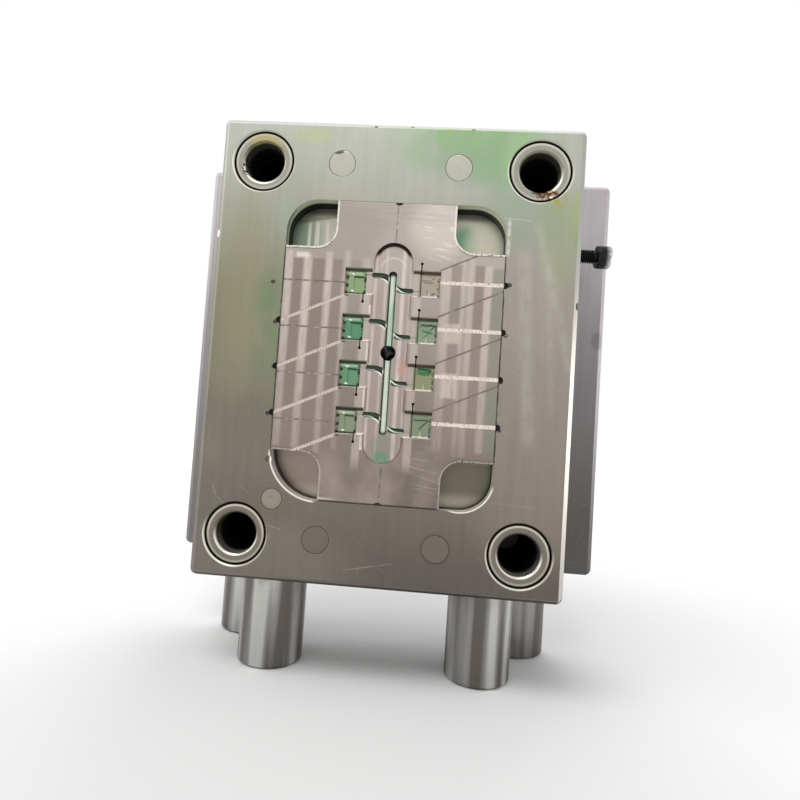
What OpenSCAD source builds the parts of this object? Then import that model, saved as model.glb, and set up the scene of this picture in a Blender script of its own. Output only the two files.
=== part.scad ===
// Fixed half of a small eight-cavity injection mould, on four support legs.
// The parting face looks along -Y. X runs to the right and Z up. The feet stand on Z = 0.

/* [Cavity plate] */
// Width of the cavity plate
plate_w = 150; // [146:1:170]
// Height of both plates
plate_h = 190; // [184:1:220]
// Thickness of the cavity plate
plate_t = 50; // [46:1:60]
// Chamfer along the edges of both plates
edge_c = 2.2; // [0.5:0.1:3]

/* [Clamp plate] */
// Width of the clamp plate
clamp_w = 200; // [180:1:230]
// Thickness of the clamp plate
clamp_t = 25; // [22:1:32]

/* [Pocket and insert] */
// Width of the pocket in the cavity plate
pocket_w = 90; // [84:1:92]
// Distance from the top or bottom of the plate to the pocket
pocket_edge = 33.5; // [31:0.5:36]
// Depth of the pocket
pocket_t = 30; // [26:1:34]
// Corner radius of the pocket
pocket_r = 13; // [8:0.5:16]
// Larger corner radius beside the index pin
pocket_r_index = 20; // [16:0.5:22]
// Gap all round between the insert and the pocket
insert_gap = 0.05; // [0.02:0.01:0.2]
// Width of the notch at each corner of the insert
notch_w = 20.5; // [16:0.5:22]
// Height of the notch
notch_h = 19.5; // [16:0.5:21]
// Depth of the notch
notch_t = 9.5; // [6:0.5:14]
// Fillet inside the notch
notch_r = 8; // [4:0.5:10]

/* [Runners] */
// Width of the shallow recess along the middle
recess_w = 16; // [14:0.5:17]
// Length of the shallow recess
recess_l = 90; // [86:1:96]
// Depth of the shallow recess
recess_t = 1.3; // [0.8:0.1:1.6]
// Lean of the recess wall, from its mouth to its floor
recess_lean = 0.6; // [0.2:0.1:1]
// Width of the main runner at its mouth
runner_w = 3.4; // [2.6:0.1:4]
// Width of the main runner at its floor
runner_floor_w = 2; // [1.4:0.1:2.4]
// Length of the main runner
runner_l = 67; // [64:0.5:72]
// Depth of the main runner below the recess
runner_t = 1.5; // [1:0.1:2]
// Width of a branch runner
branch_w = 2.2; // [1.8:0.1:2.4]
// Bend radius of a branch runner
branch_r = 5.5; // [5:0.1:6]
// Height that a branch runner loses on its bend
branch_drop = 2.8; // [2.4:0.1:3.2]
// Height of a branch runner's straight end above or below the middle of its row
branch_rise = 2.95; // [2.4:0.05:3.2]
// Distance from the middle to the end of a branch runner
branch_end = 8.8; // [8.4:0.1:9.4]
// Diameter of the sprue hole
sprue_d = 6.2; // [5:0.1:7]

/* [Cavity rows] */
// Number of rows
row_count = 4; // [2:1:4]
// Distance between rows
row_pitch = 19; // [18:0.5:20]
// Height of the side pocket of a row
side_h = 11.4; // [11:0.1:12.4]
// Distance from the middle to the outer end of a side pocket
side_end = 19.5; // [19.4:0.1:20.2]
// Distance from the middle to the inner side of a cavity block
block_x = 10.8; // [10.4:0.1:11.2]
// Width of a cavity block
block_w = 8.5; // [8:0.1:8.6]
// Height of a cavity block
block_h = 9.5; // [9:0.1:9.8]
// Distance that the block sits below the middle of its row
block_drop = 0.4; // [0:0.1:0.6]
// Width of a wire-cut slit
slit_w = 0.5; // [0.3:0.05:0.8]
// Diameter of the start hole of a slit
start_d = 1.2; // [0.8:0.1:1.6]

/* [Air vents] */
// Width of a slanted vent on the left
vent_w = 1.3; // [0.8:0.1:1.8]
// Width of a level vent on the right
level_vent_w = 1.6; // [0.8:0.1:2]
// Width of a fine relief line
line_w = 0.7; // [0.4:0.1:1]
// Depth of the vents and lines
vent_t = 0.2; // [0.1:0.05:0.4]
// Angle of a slanted vent below the horizontal
vent_angle = 24.4; // [20:0.2:26]
// Diameter of the relief pit where a vent meets the pocket edge
pit_d = 2.6; // [1.6:0.1:3]
// Depth of the relief pit
pit_t = 0.9; // [0.5:0.1:1.5]

/* [Guide bushes] */
// Distance from a side of the plate to the middle of a guide bush
bush_side = 18; // [16:0.5:19]
// Distance from the top or bottom of the plate to the middle of a guide bush
bush_edge = 18; // [17:0.5:19]
// Outside diameter of a guide bush
bush_d = 25; // [22:0.5:25]
// Bore of a guide bush
bush_bore = 16; // [12:0.5:18]
// Diameter of the head of a guide bush
bush_head_d = 30; // [28:0.5:32]
// Thickness of the head
bush_head_t = 6; // [4:0.5:8]
// Depth of the front face of the bush below the parting face
bush_set = 0.7; // [0.3:0.1:1.5]
// Chamfer at the mouth of the plate's bush holes
mouth_c = 0.8; // [0.4:0.1:1.2]

/* [Pads and index pin] */
// Diameter of a rest pad
pad_d = 11; // [9:0.5:12]
// Length of a rest pad
pad_l = 8; // [5:0.5:12]
// Distance from the middle to a rest pad, sideways
pad_x = 24; // [20:0.5:28]
// Distance from the top or bottom of the plate to the middle of a rest pad
pad_edge = 18; // [15:0.5:19]
// Diameter of the index pin
index_d = 8.5; // [6:0.5:9]
// Length of the index pin
index_l = 14; // [8:0.5:20]

/* [Sprue bush and locating ring] */
// Diameter of the sprue bush stem
stem_d = 16; // [14:0.5:18]
// Diameter of the sprue bush flange
flange_d = 36; // [32:0.5:38]
// Thickness of the sprue bush flange
flange_t = 12; // [10:0.5:13]
// Diameter of the sprue at the nozzle
nozzle_d = 3.5; // [3:0.1:4]
// Radius of the nozzle seat
nozzle_r = 16; // [12:0.5:20]
// Diameter of the locating hole in the machine, which the ring enters
ring_d = 100; // [96:1:104]
// Thickness of the locating ring
ring_t = 15; // [12:0.5:18]
// Depth that the ring sinks into the clamp plate
ring_seat = 5; // [3:0.5:6]
// Step from the part that enters the machine out to the wider seat in the clamp plate
ring_step = 1; // [0.8:0.1:2]
// Inside diameter of the locating ring
ring_bore = 34; // [28:0.5:35]
// Distance from the middle to a ring screw
ring_screw_r = 42; // [40:0.5:44]

/* [Screws] */
// Thread diameter of the clamp screws
clamp_screw_d = 10; // [8:1:10]
// Distance from the middle to a clamp screw, sideways
clamp_screw_x = 57; // [56:0.5:60]
// Distance from the middle to a clamp screw, upwards
clamp_screw_z = 45; // [42:0.5:48]
// Thread diameter of the insert screws
insert_screw_d = 8; // [6:1:8]
// Distance from the middle to an insert screw, sideways
insert_screw_x = 32; // [30:0.5:34]
// Distance from the middle to an insert screw, upwards
insert_screw_z = 32; // [28:0.5:40]
// Thread diameter of the ring screws
ring_screw_d = 5; // [4:1:5]
// Thread diameter of the side screw
side_screw_d = 6; // [5:1:8]
// Length of the side screw below its head
side_screw_l = 20; // [18:1:24]
// Length of the side screw that is still out of the plate
side_screw_out = 12.3; // [8:0.1:14]
// Height of the side screw above the middle of the plate
side_screw_z = 51; // [49:0.5:56]

/* [Legs] */
// Diameter of a leg
leg_d = 28; // [20:0.5:30]
// Length of a leg
leg_l = 40; // [25:1:60]
// Distance from the middle to a front leg
front_leg_x = 45.5; // [38:0.5:46]
// Depth of the front legs behind the parting face
front_leg_y = 25; // [20:0.5:30]
// Distance from the middle to a rear leg
rear_leg_x = 66; // [60:0.5:80]
// Depth of the rear legs behind the front of the clamp plate
rear_leg_y = 9; // [7:0.5:16]
// Chamfer at the foot of a leg
foot_c = 1.2; // [0.5:0.1:3]
// Thread diameter of a leg stud
stud_d = 6; // [5:1:6]
// Depth of a leg stud in the plate
stud_in = 8; // [6:0.5:9]
// Depth of a leg stud in the leg
stud_leg = 14; // [8:0.5:20]

/* [Channels and lifting] */
// Distance from the middle to a cooling channel
channel_x = 18; // [16:0.5:20]
// Diameter of a cooling channel
channel_d = 8; // [6:0.5:8]
// Diameter of the tapped port of a channel
port_d = 13.2; // [10:0.1:14]
// Depth of the tapped port
port_l = 12; // [8:0.5:16]
// Diameter of the tapped lifting hole
lift_d = 12; // [10:1:14]
// Depth of the lifting hole
lift_l = 22; // [16:1:26]

/* [Hidden] */
$fn = 96;
eps = 0.01;
// clearance of a fitted piece in its hole, on the diameter
fit = 0.04;
// clearance of a thread in its tapped hole, on the diameter
thread_gap = 0.1;
// clearance of a shank in a through hole, on the diameter
shank_gap = 1;

ring_out = ring_t - ring_seat;
ring_seat_d = ring_d + 2 * ring_step;
total_y = plate_t + clamp_t + ring_out;
back_y = plate_t + clamp_t;
middle_z = leg_l + plate_h / 2;
channel_y = pocket_t + (plate_t - pocket_t) / 2;
row_z = [for (i = [0:row_count - 1]) ((row_count - 1) / 2 - i) * row_pitch];
pocket_h = plate_h - 2 * pocket_edge;
notch_x = pocket_w / 2 - notch_w;
notch_z = pocket_h / 2 - notch_h;
bush_x = plate_w / 2 - bush_side;
bush_z = plate_h / 2 - bush_edge;
pad_z = plate_h / 2 - pad_edge;
bush_len = plate_t - bush_set;
flange_back = back_y - ring_seat;
start_x = block_x + 0.8;
start_z = 8.3;
vent_drop = side_h / 2 + 0.1;
line_drop = 0.8;
// where a slanted vent that starts at the outer end of a side pocket leaves the insert
vent_run = (pocket_w / 2 - side_end + 0.5) * tan(vent_angle);
index_x = pocket_w / 2 - 2;
index_z = pocket_h / 2 + 0.5;
quarters = [[-1, 1, "tl"], [1, 1, "tr"], [-1, -1, "bl"], [1, -1, "br"]];
sides = [[-1, "l"], [1, "r"]];
leg_names = ["front_left", "front_right", "rear_left", "rear_right"];
leg_at = [
    [-front_leg_x, front_leg_y],
    [front_leg_x, front_leg_y],
    [-rear_leg_x, plate_t + rear_leg_y],
    [rear_leg_x, plate_t + rear_leg_y]
];

single = ["cavity_plate", "clamp_plate", "cavity_insert", "index_pin", "sprue_bush", "locating_ring", "side_screw"];
blocks = [for (s = sides) for (i = [0:row_count - 1]) str("cavity_block_", s[1], i + 1)];
corner_kinds = ["guide_bush_", "rest_pad_", "clamp_screw_", "insert_screw_", "ring_screw_"];
corner_nodes = [for (k = corner_kinds) for (q = quarters) str(k, q[2])];
leg_nodes = [for (k = ["leg_", "leg_stud_"]) for (n = leg_names) str(k, n)];

// General shapes

// a flat outline in X and Z, given a thickness along Y from y
module slab(y, t) translate([0, y + t, 0]) rotate([90, 0, 0]) linear_extrude(t) children();

// a shape drawn upright, laid along Y at a place on the face
module along_y(x, y, z) translate([x, y, z]) rotate([-90, 0, 0]) children();

// a round hole or pin along Y
module round_y(x, y, z, d, l) along_y(x, y, z) cylinder(h = l, d = d);

// a rectangle with round corners, one radius for each corner, starting at the top right and going round to the left
module round_rect(w, h, r) {
    difference() {
        square([w, h], center = true);
        for (i = [0:3]) {
            sx = [1, -1, -1, 1][i];
            sz = [1, 1, -1, -1][i];
            translate([sx * (w / 2 - r[i]), sz * (h / 2 - r[i])]) difference() {
                translate([sx > 0 ? 0 : -r[i] - eps, sz > 0 ? 0 : -r[i] - eps]) square(r[i] + eps);
                circle(r[i]);
            }
        }
    }
}

// a plate with chamfered edges, its front face at y
module chamfered_plate(w, h, y, t, c) {
    intersection() {
        slab(y, t) bevel_outline(w, h, c);
        translate([0, 0, -h / 2]) linear_extrude(h) translate([0, y + t / 2]) bevel_outline(w, t, c);
        translate([-w / 2, y + t / 2, 0]) rotate([90, 0, 90]) linear_extrude(w) bevel_outline(t, h, c);
    }
}

module bevel_outline(w, h, c) {
    a = w / 2;
    b = h / 2;
    polygon([
        [a, b - c], [a - c, b], [c - a, b], [-a, b - c],
        [-a, c - b], [c - a, -b], [a - c, -b], [a, c - b]
    ]);
}

// a socket head cap screw along Z, its head below 0 and its shank up to l
module cap_screw(d, l) {
    head_d = d + (d < 6 ? 3.5 : d < 8 ? 4 : d < 10 ? 5 : 6);
    c = d * 0.08;
    difference() {
        rotate_extrude() polygon([
            [0, -d], [head_d / 2 - c, -d], [head_d / 2, c - d], [head_d / 2, 0],
            [d / 2, 0], [d / 2, l - c], [d / 2 - c, l], [0, l]
        ]);
        translate([0, 0, -d - eps]) cylinder(h = d * 0.55, d = d * 0.95, $fn = 6);
    }
}

function head_of(d) = d + (d < 6 ? 3.5 : d < 8 ? 4 : d < 10 ? 5 : 6);

// Outlines on the parting face

module pocket_outline(gap) {
    round_rect(
        pocket_w - 2 * gap,
        pocket_h - 2 * gap,
        [pocket_r - gap, pocket_r - gap, pocket_r_index - gap, pocket_r - gap]
    );
}

// the rectangle that a notch takes off one corner of the insert, with its inner fillet
module notch_outline() {
    over = 2;
    difference() {
        translate([notch_x, notch_z]) square([notch_w + over, notch_h + over]);
        translate([notch_x, notch_z]) difference() {
            translate([-eps, -eps]) square(notch_r + eps);
            translate([notch_r, notch_r]) circle(notch_r);
        }
    }
}

// Cutters for the insert, which start above the parting face

// a long groove along Z with leaning walls and round ends: width w at depth top, width w_low at depth low
module long_groove(w, w_low, l, top, low) {
    rise = 1;
    lean = (w - w_low) / 2 / (low - top);
    a = w / 2 + rise * lean;
    b = w_low / 2;
    half = (l - w) / 2;
    translate([0, 0, -half]) linear_extrude(2 * half) polygon([
        [-a, top - rise], [a, top - rise], [b, low], [-b, low]
    ]);
    for (s = [-1, 1]) along_y(0, top - rise, s * half) cylinder(h = low - top + rise, r1 = a, r2 = b);
}

// side pocket of one row, wide enough for both sides, with leaning top and bottom walls
module side_cutter(z) {
    b = side_h / 2;
    translate([-side_end, 0, z]) rotate([90, 0, 90]) linear_extrude(2 * side_end) polygon([
        [-1, -b - 1], [recess_t, recess_t - b], [recess_t, b - recess_t], [-1, b + 1]
    ]);
}

// section of a branch runner: a round floor below and upright sides above
module branch_section() {
    r = branch_w / 2;
    circle(r);
    translate([-r, 0]) square([2 * r, 1]);
}

// one branch runner to the left of the middle: it leaves the main runner on a bend,
// then runs level to a ball end
module branch_cutter() {
    r = branch_w / 2;
    sink = recess_t + 0.2;
    turn = acos(1 - branch_drop / branch_r);
    bend_x = branch_r * sin(turn);
    end_x = branch_end - r;
    translate([-end_x, sink, branch_rise]) {
        rotate([90, 0, 90]) linear_extrude(end_x - bend_x) rotate(90) branch_section();
        sphere(r);
        along_y(0, -1, 0) cylinder(h = 1, r = r);
    }
    translate([-bend_x, sink, branch_rise - branch_r]) rotate([90, 0, 0]) rotate(90)
        rotate_extrude(angle = -turn) translate([branch_r, 0]) branch_section();
    // gate to the cavity block
    translate([-block_x - eps, recess_t - 0.2, branch_rise - 0.4]) cube([block_x - end_x, 0.6, 0.8]);
}

// wire-cut slit and its start hole, beside the block on the left
module slit_cutter() {
    round_y(-start_x, -1, -start_z, start_d, pocket_t + 2);
    translate([-start_x - slit_w / 2, -1, -start_z]) cube([slit_w, pocket_t + 2, start_z - block_h / 2 + block_drop]);
}

// vents and fine lines of one row
module vent_cutter(z) {
    reach = pocket_w;
    // left: a slanted vent and a fine level line
    translate([-side_end + 0.5, 0, z - vent_drop]) rotate([0, 180 - vent_angle, 0])
        translate([0, -1, -vent_w / 2]) cube([reach, 1 + vent_t, vent_w]);
    translate([-reach, -1, z - line_drop - line_w / 2]) cube([reach - side_end + 0.5, 1 + vent_t, line_w]);
    // right: a level vent and a fine slanted line
    translate([side_end - 0.5, -1, z + line_drop - level_vent_w / 2 + 0.2]) cube([reach, 1 + vent_t, level_vent_w]);
    translate([side_end - 0.5, 0, z + vent_drop]) rotate([0, -vent_angle, 0])
        translate([0, -1, -line_w / 2]) cube([reach, 1 + vent_t, line_w]);
}

// Sub-parts, in the plate's own place: the parting face at Y = 0 and the middle of the plate at Z = 0

module cavity_plate() {
    color("gray") difference() {
        chamfered_plate(plate_w, plate_h, 0, plate_t, edge_c);
        slab(-1, pocket_t + 1) pocket_outline(0);
        for (q = quarters) {
            bush_hole(q[0] * bush_x, q[1] * bush_z);
            round_y(q[0] * pad_x, -1, q[1] * pad_z, pad_d + fit, pad_l + 1);
            clamp_thread(q[0] * clamp_screw_x, q[1] * clamp_screw_z);
            insert_screw_hole(q[0] * insert_screw_x, q[1] * insert_screw_z);
        }
        round_y(-index_x, -1, -index_z, index_d + fit, index_l + 1);
        round_y(0, pocket_t - 1, 0, stem_d + fit, plate_t);
        for (s = sides) channel(s[0] * channel_x);
        for (i = [0:1]) stud_hole(leg_at[i]);
        side_thread();
        lifting_hole();
        for (z = row_z) {
            pit(-pocket_w / 2 - 0.4, z - vent_drop - vent_run);
            pit(pocket_w / 2 + 0.4, z + line_drop + 0.2);
        }
    }
}

module bush_hole(x, z) {
    along_y(x, 0, z) {
        translate([0, 0, -1]) cylinder(h = plate_t + 2, d = bush_d + fit);
        translate([0, 0, plate_t - bush_head_t]) cylinder(h = bush_head_t + 1, d = bush_head_d + 0.4);
        cylinder(h = mouth_c, d1 = bush_d + 2 * mouth_c, d2 = bush_d);
        translate([0, 0, -1]) cylinder(h = 1 + eps, d = bush_d + 2 * mouth_c);
    }
}

module clamp_thread(x, z) round_y(x, plate_t - clamp_screw_d * 2, z, clamp_screw_d + thread_gap, clamp_screw_d * 2 + 1);

module insert_screw_hole(x, z) {
    round_y(x, pocket_t - 1, z, insert_screw_d + shank_gap, plate_t);
    round_y(x, plate_t - insert_screw_d - 1, z, head_of(insert_screw_d) + 0.6, insert_screw_d + 2);
}

// cooling channel from the top to the bottom of the cavity plate, with a tapped port at each end
module channel(x) {
    translate([x, channel_y, -plate_h / 2 - 1]) cylinder(h = plate_h + 2, d = channel_d);
    for (s = [-1, 1]) translate([x, channel_y, s * plate_h / 2]) rotate([s > 0 ? 180 : 0, 0, 0]) {
        translate([0, 0, -1]) cylinder(h = port_l + 1, d = port_d);
    }
}

module stud_hole(at) {
    translate([at[0], at[1], -plate_h / 2 - 1]) cylinder(h = stud_in + 1, d = stud_d + thread_gap);
}

module side_thread() {
    l = side_screw_l - side_screw_out + 2;
    translate([plate_w / 2 + 1, plate_t / 2, side_screw_z]) rotate([0, -90, 0])
        cylinder(h = l + 1, d = side_screw_d + thread_gap);
}

module lifting_hole() {
    translate([0, plate_t / 2, plate_h / 2 - lift_l]) cylinder(h = lift_l + 1, d = lift_d);
}

module pit(x, z) round_y(x, -1, z, pit_d, 1 + pit_t);

module clamp_plate() {
    color("darkgray") difference() {
        chamfered_plate(clamp_w, plate_h, plate_t, clamp_t, edge_c);
        round_y(0, plate_t - 1, 0, stem_d + fit, clamp_t + 2);
        round_y(0, flange_back - flange_t, 0, flange_d + fit, clamp_t);
        round_y(0, flange_back, 0, ring_seat_d + fit, clamp_t);
        for (q = quarters) {
            x = q[0] * clamp_screw_x;
            z = q[1] * clamp_screw_z;
            round_y(x, plate_t - 1, z, clamp_screw_d + shank_gap, clamp_t + 2);
            round_y(x, back_y - clamp_screw_d - 1, z, head_of(clamp_screw_d) + 1.5, clamp_screw_d + 2);
            ring_thread(q);
        }
        for (i = [2:3]) stud_hole(leg_at[i]);
    }
}

module ring_thread(q) {
    a = ring_screw_r * cos(45);
    l = ring_screw_d * 2 + 1;
    round_y(q[0] * a, flange_back - l, q[1] * a, ring_screw_d + thread_gap, l + 1);
}

module cavity_insert() {
    color("rosybrown") difference() {
        slab(0, pocket_t) pocket_outline(insert_gap);
        for (q = quarters) slab(-1, notch_t + 1) scale([q[0], q[1]]) notch_outline();
        long_groove(recess_w, recess_w - 2 * recess_lean, recess_l, 0, recess_t);
        long_groove(runner_w, runner_floor_w, runner_l, recess_t, recess_t + runner_t);
        for (z = row_z) {
            side_cutter(z);
            vent_cutter(z);
            translate([0, 0, z]) {
                branch_cutter();
                rotate([0, 180, 0]) branch_cutter();
                slit_cutter();
                rotate([0, 180, 0]) slit_cutter();
                for (s = [-1, 1]) block_seat(s);
            }
        }
        round_y(0, -1, 0, sprue_d, pocket_t + 2);
        for (q = quarters) {
            x = q[0] * insert_screw_x;
            z = q[1] * insert_screw_z;
            round_y(x, pocket_t - insert_screw_d * 2, z, insert_screw_d + thread_gap, insert_screw_d * 2 + 1);
        }
    }
}

// hole through the insert for a cavity block
module block_seat(s) {
    translate([s * (block_x + block_w / 2), pocket_t / 2, -block_drop])
        cube([block_w + fit, pocket_t + 2, block_h + fit], center = true);
}

// one cavity block: its face lies on the floor of the side pocket and carries the moulded shape
module cavity_block(s, z) {
    x = s * block_x;
    color("darkseagreen") translate([0, 0, z]) {
        difference() {
            translate([s * (block_x + block_w / 2), (recess_t + pocket_t) / 2, -block_drop])
                cube([block_w, pocket_t - recess_t, block_h], center = true);
            // the moulded body and its narrow lip
            face_box(s, 0.7, -4.7, 4.3, 6.7, 0.6);
            face_box(s, 0.7, 2.4, 6.4, 1.3, 0.3);
            // gate, in line with the branch runner
            face_box(s, -1, -s * branch_rise - 0.4, 1.8, 0.8, 0.4);
            // three lugs along the outer side
            for (v = [2, -1.5, -4.8]) round_y(s * (block_x + block_w), recess_t - 1, v, 1.8, 1.9);
        }
        // two short core pins
        for (v = [3.1, -3.9]) round_y(s * (block_x + 5.7), recess_t - 0.4, v, 0.9, 1.2);
    }
}

// a shallow rectangle in the face of a block, from the block's inner side and the middle of its row
module face_box(s, u, v, w, h, t) {
    translate([s > 0 ? block_x + u : -block_x - u - w, recess_t - 1, v]) cube([w, 1 + t, h]);
}

module guide_bush(q) {
    r = bush_d / 2;
    b = bush_bore / 2;
    round_in = 2;
    color("silver") along_y(q[0] * bush_x, bush_set, q[1] * bush_z) rotate_extrude() difference() {
        polygon([
            [b, 0], [r - 0.6, 0], [r, 0.6], [r, bush_len - bush_head_t], [bush_head_d / 2, bush_len - bush_head_t],
            [bush_head_d / 2, bush_len], [b, bush_len]
        ]);
        // rounded mouth
        translate([b - eps, -eps]) difference() {
            square(round_in);
            translate([round_in, round_in]) circle(round_in);
        }
    }
}

module rest_pad(q) {
    c = 0.4;
    color("silver") along_y(q[0] * pad_x, 0, q[1] * pad_z) rotate_extrude() polygon([
        [0, 0], [pad_d / 2 - c, 0], [pad_d / 2, c], [pad_d / 2, pad_l], [0, pad_l]
    ]);
}

module index_pin() {
    c = 0.4;
    color("silver") along_y(-index_x, 0, -index_z) rotate_extrude() polygon([
        [0, 0.3], [0.5, 0], [index_d / 2 - c, 0], [index_d / 2, c], [index_d / 2, index_l], [0, index_l]
    ]);
}

module sprue_bush() {
    l = flange_back - pocket_t;
    c = 0.5;
    color("slategray") difference() {
        along_y(0, pocket_t, 0) rotate_extrude() polygon([
            [sprue_d / 2, 0], [stem_d / 2 - c, 0], [stem_d / 2, c], [stem_d / 2, l - flange_t],
            [flange_d / 2, l - flange_t], [flange_d / 2, l - c], [flange_d / 2 - c, l], [nozzle_d / 2, l]
        ]);
        // seat for the nozzle
        translate([0, flange_back + nozzle_r - 3, 0]) sphere(nozzle_r);
    }
}

module locating_ring() {
    r = ring_seat_d / 2;
    free = ring_d / 2 - 0.1;
    c = 1.5;
    a = ring_screw_r * cos(45);
    color("dimgray") difference() {
        along_y(0, flange_back, 0) rotate_extrude() polygon([
            [ring_bore / 2, 0], [r, 0], [r, ring_seat], [free, ring_seat], [free, ring_t - c], [free - c, ring_t],
            [ring_bore / 2 + ring_t * 0.4, ring_t], [ring_bore / 2, ring_t * 0.4]
        ]);
        for (q = quarters) {
            round_y(q[0] * a, flange_back - 1, q[1] * a, ring_screw_d + shank_gap / 2, ring_t + 2);
            round_y(q[0] * a, back_y + ring_out - ring_screw_d - 1, q[1] * a, head_of(ring_screw_d) + 0.5, ring_t);
        }
    }
}

// a cap screw put in from the back, its head's underside at y
module back_screw(x, y, z, d, l) color("black") translate([x, y, z]) rotate([90, 0, 0]) cap_screw(d, l);

module clamp_screw(q) {
    seat = back_y - clamp_screw_d - 1;
    back_screw(q[0] * clamp_screw_x, seat, q[1] * clamp_screw_z, clamp_screw_d, seat - plate_t + clamp_screw_d * 1.6);
}

module insert_screw(q) {
    seat = plate_t - insert_screw_d - 1;
    l = seat - pocket_t + insert_screw_d * 1.6;
    back_screw(q[0] * insert_screw_x, seat, q[1] * insert_screw_z, insert_screw_d, l);
}

module ring_screw(q) {
    a = ring_screw_r * cos(45);
    seat = back_y + ring_out - ring_screw_d - 1;
    back_screw(q[0] * a, seat, q[1] * a, ring_screw_d, seat - flange_back + ring_screw_d * 1.6);
}

module side_screw() {
    color("black") translate([plate_w / 2 + side_screw_out, plate_t / 2, side_screw_z]) rotate([0, -90, 0])
        cap_screw(side_screw_d, side_screw_l);
}

// a leg hangs from the underside of its plate
module leg(i) {
    r = leg_d / 2;
    color("silver") translate([leg_at[i][0], leg_at[i][1], -plate_h / 2 - leg_l]) difference() {
        rotate_extrude() polygon([
            [0, 0], [r - foot_c, 0], [r, foot_c], [r, leg_l - 0.4], [r - 0.4, leg_l], [0, leg_l]
        ]);
        translate([0, 0, leg_l - stud_leg]) cylinder(h = stud_leg + 1, d = stud_d + thread_gap);
    }
}

module leg_stud(i) {
    c = 0.5;
    r = stud_d / 2;
    l = stud_leg + stud_in - 1;
    color("dimgray") translate([leg_at[i][0], leg_at[i][1], -plate_h / 2 - stud_leg]) rotate_extrude() polygon([
        [0, 0], [r - c, 0], [r, c], [r, l - c], [r - c, l], [0, l]
    ]);
}

// The assembly, lifted onto its legs and centred in depth

module placed(name) {
    translate([0, -total_y / 2, middle_z]) children();
}

placed("cavity_plate") cavity_plate();
placed("clamp_plate") clamp_plate();
placed("cavity_insert") cavity_insert();
placed("index_pin") index_pin();
placed("sprue_bush") sprue_bush();
placed("locating_ring") locating_ring();
placed("side_screw") side_screw();

for (s = sides) for (i = [0:row_count - 1]) placed(str("cavity_block_", s[1], i + 1)) cavity_block(s[0], row_z[i]);

for (q = quarters) {
    placed(str("guide_bush_", q[2])) guide_bush(q);
    placed(str("rest_pad_", q[2])) rest_pad(q);
    placed(str("clamp_screw_", q[2])) clamp_screw(q);
    placed(str("insert_screw_", q[2])) insert_screw(q);
    placed(str("ring_screw_", q[2])) ring_screw(q);
}

for (i = [0:3]) {
    placed(str("leg_", leg_names[i])) leg(i);
    placed(str("leg_stud_", leg_names[i])) leg_stud(i);
}
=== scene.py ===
"""Looks for the fixed half of a small eight-cavity injection mould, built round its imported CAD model."""

import math

import bpy
from bpy.props import FloatProperty, FloatVectorProperty, IntProperty, PointerProperty
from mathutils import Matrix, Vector


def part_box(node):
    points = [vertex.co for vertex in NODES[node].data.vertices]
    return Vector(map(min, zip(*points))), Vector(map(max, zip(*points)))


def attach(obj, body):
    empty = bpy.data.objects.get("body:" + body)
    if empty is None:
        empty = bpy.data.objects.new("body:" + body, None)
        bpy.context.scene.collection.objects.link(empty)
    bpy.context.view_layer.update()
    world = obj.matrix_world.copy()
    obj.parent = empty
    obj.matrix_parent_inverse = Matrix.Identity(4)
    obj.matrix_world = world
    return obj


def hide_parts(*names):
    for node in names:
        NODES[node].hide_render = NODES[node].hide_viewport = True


bl_info = {
    "name": "Injection mould, fixed half",
    "version": (1, 0, 0),
    "blender": (4, 5, 0),
    "location": "View3D > Sidebar > Mould",
    "description": "Dresses the plates, insert, bushes, legs and screws of a small injection mould",
    "category": "Object",
}

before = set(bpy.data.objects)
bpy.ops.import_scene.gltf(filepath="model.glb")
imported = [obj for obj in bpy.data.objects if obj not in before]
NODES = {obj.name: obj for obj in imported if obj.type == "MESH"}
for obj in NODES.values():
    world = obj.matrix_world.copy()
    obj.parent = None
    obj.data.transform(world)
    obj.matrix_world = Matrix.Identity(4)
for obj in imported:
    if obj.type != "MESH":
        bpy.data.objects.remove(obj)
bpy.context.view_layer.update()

MM = 0.001
# Vertices this near to each other are one
WELD = 0.001 * MM
# Millimetres by which a vertex may miss the outline that it lies on
CLOSE = 0.02
CORNERS = ("tl", "tr", "bl", "br")
LEGS = ("front_left", "front_right", "rear_left", "rear_right")
ROWS = (1, 2, 3, 4)
SIDES = ("l", "r")


def middle(node):
    low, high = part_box(node)
    return (low + high) / 2


# The parting face and the middle of the plate, from which all places on the mould are counted
FACE_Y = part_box("cavity_plate")[0].y
MID_Z = middle("cavity_plate").z
# A row's level is a little above the middle of its blocks
ROW_TOP = (middle("cavity_block_l1").z - MID_Z) / MM + 0.4
ROW_PITCH = (middle("cavity_block_l1").z - middle("cavity_block_l2").z) / MM
ROW_LEVELS = [ROW_TOP - ROW_PITCH * (row - 1) for row in ROWS]


def on_face(node):
    """Where a node stands on the face: millimetres to the right and up from the middle of the plate."""
    at = middle(node)
    return at.x / MM, (at.z - MID_Z) / MM


def paint(red, green, blue):
    """A colour read off a screen, 0 to 255, as linear numbers."""

    def linear(value):
        value /= 255
        return value / 12.92 if value <= 0.04045 else ((value + 0.055) / 1.055) ** 2.4

    return linear(red), linear(green), linear(blue)


def colour_property(name, description, default):
    return FloatVectorProperty(
        name=name, description=description, default=default, subtype="COLOR", size=3, min=0.0, max=1.0
    )


def length_property(name, description, default):
    return FloatProperty(name=name, description=description, default=default, unit="LENGTH", precision=5)


# Settings


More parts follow.
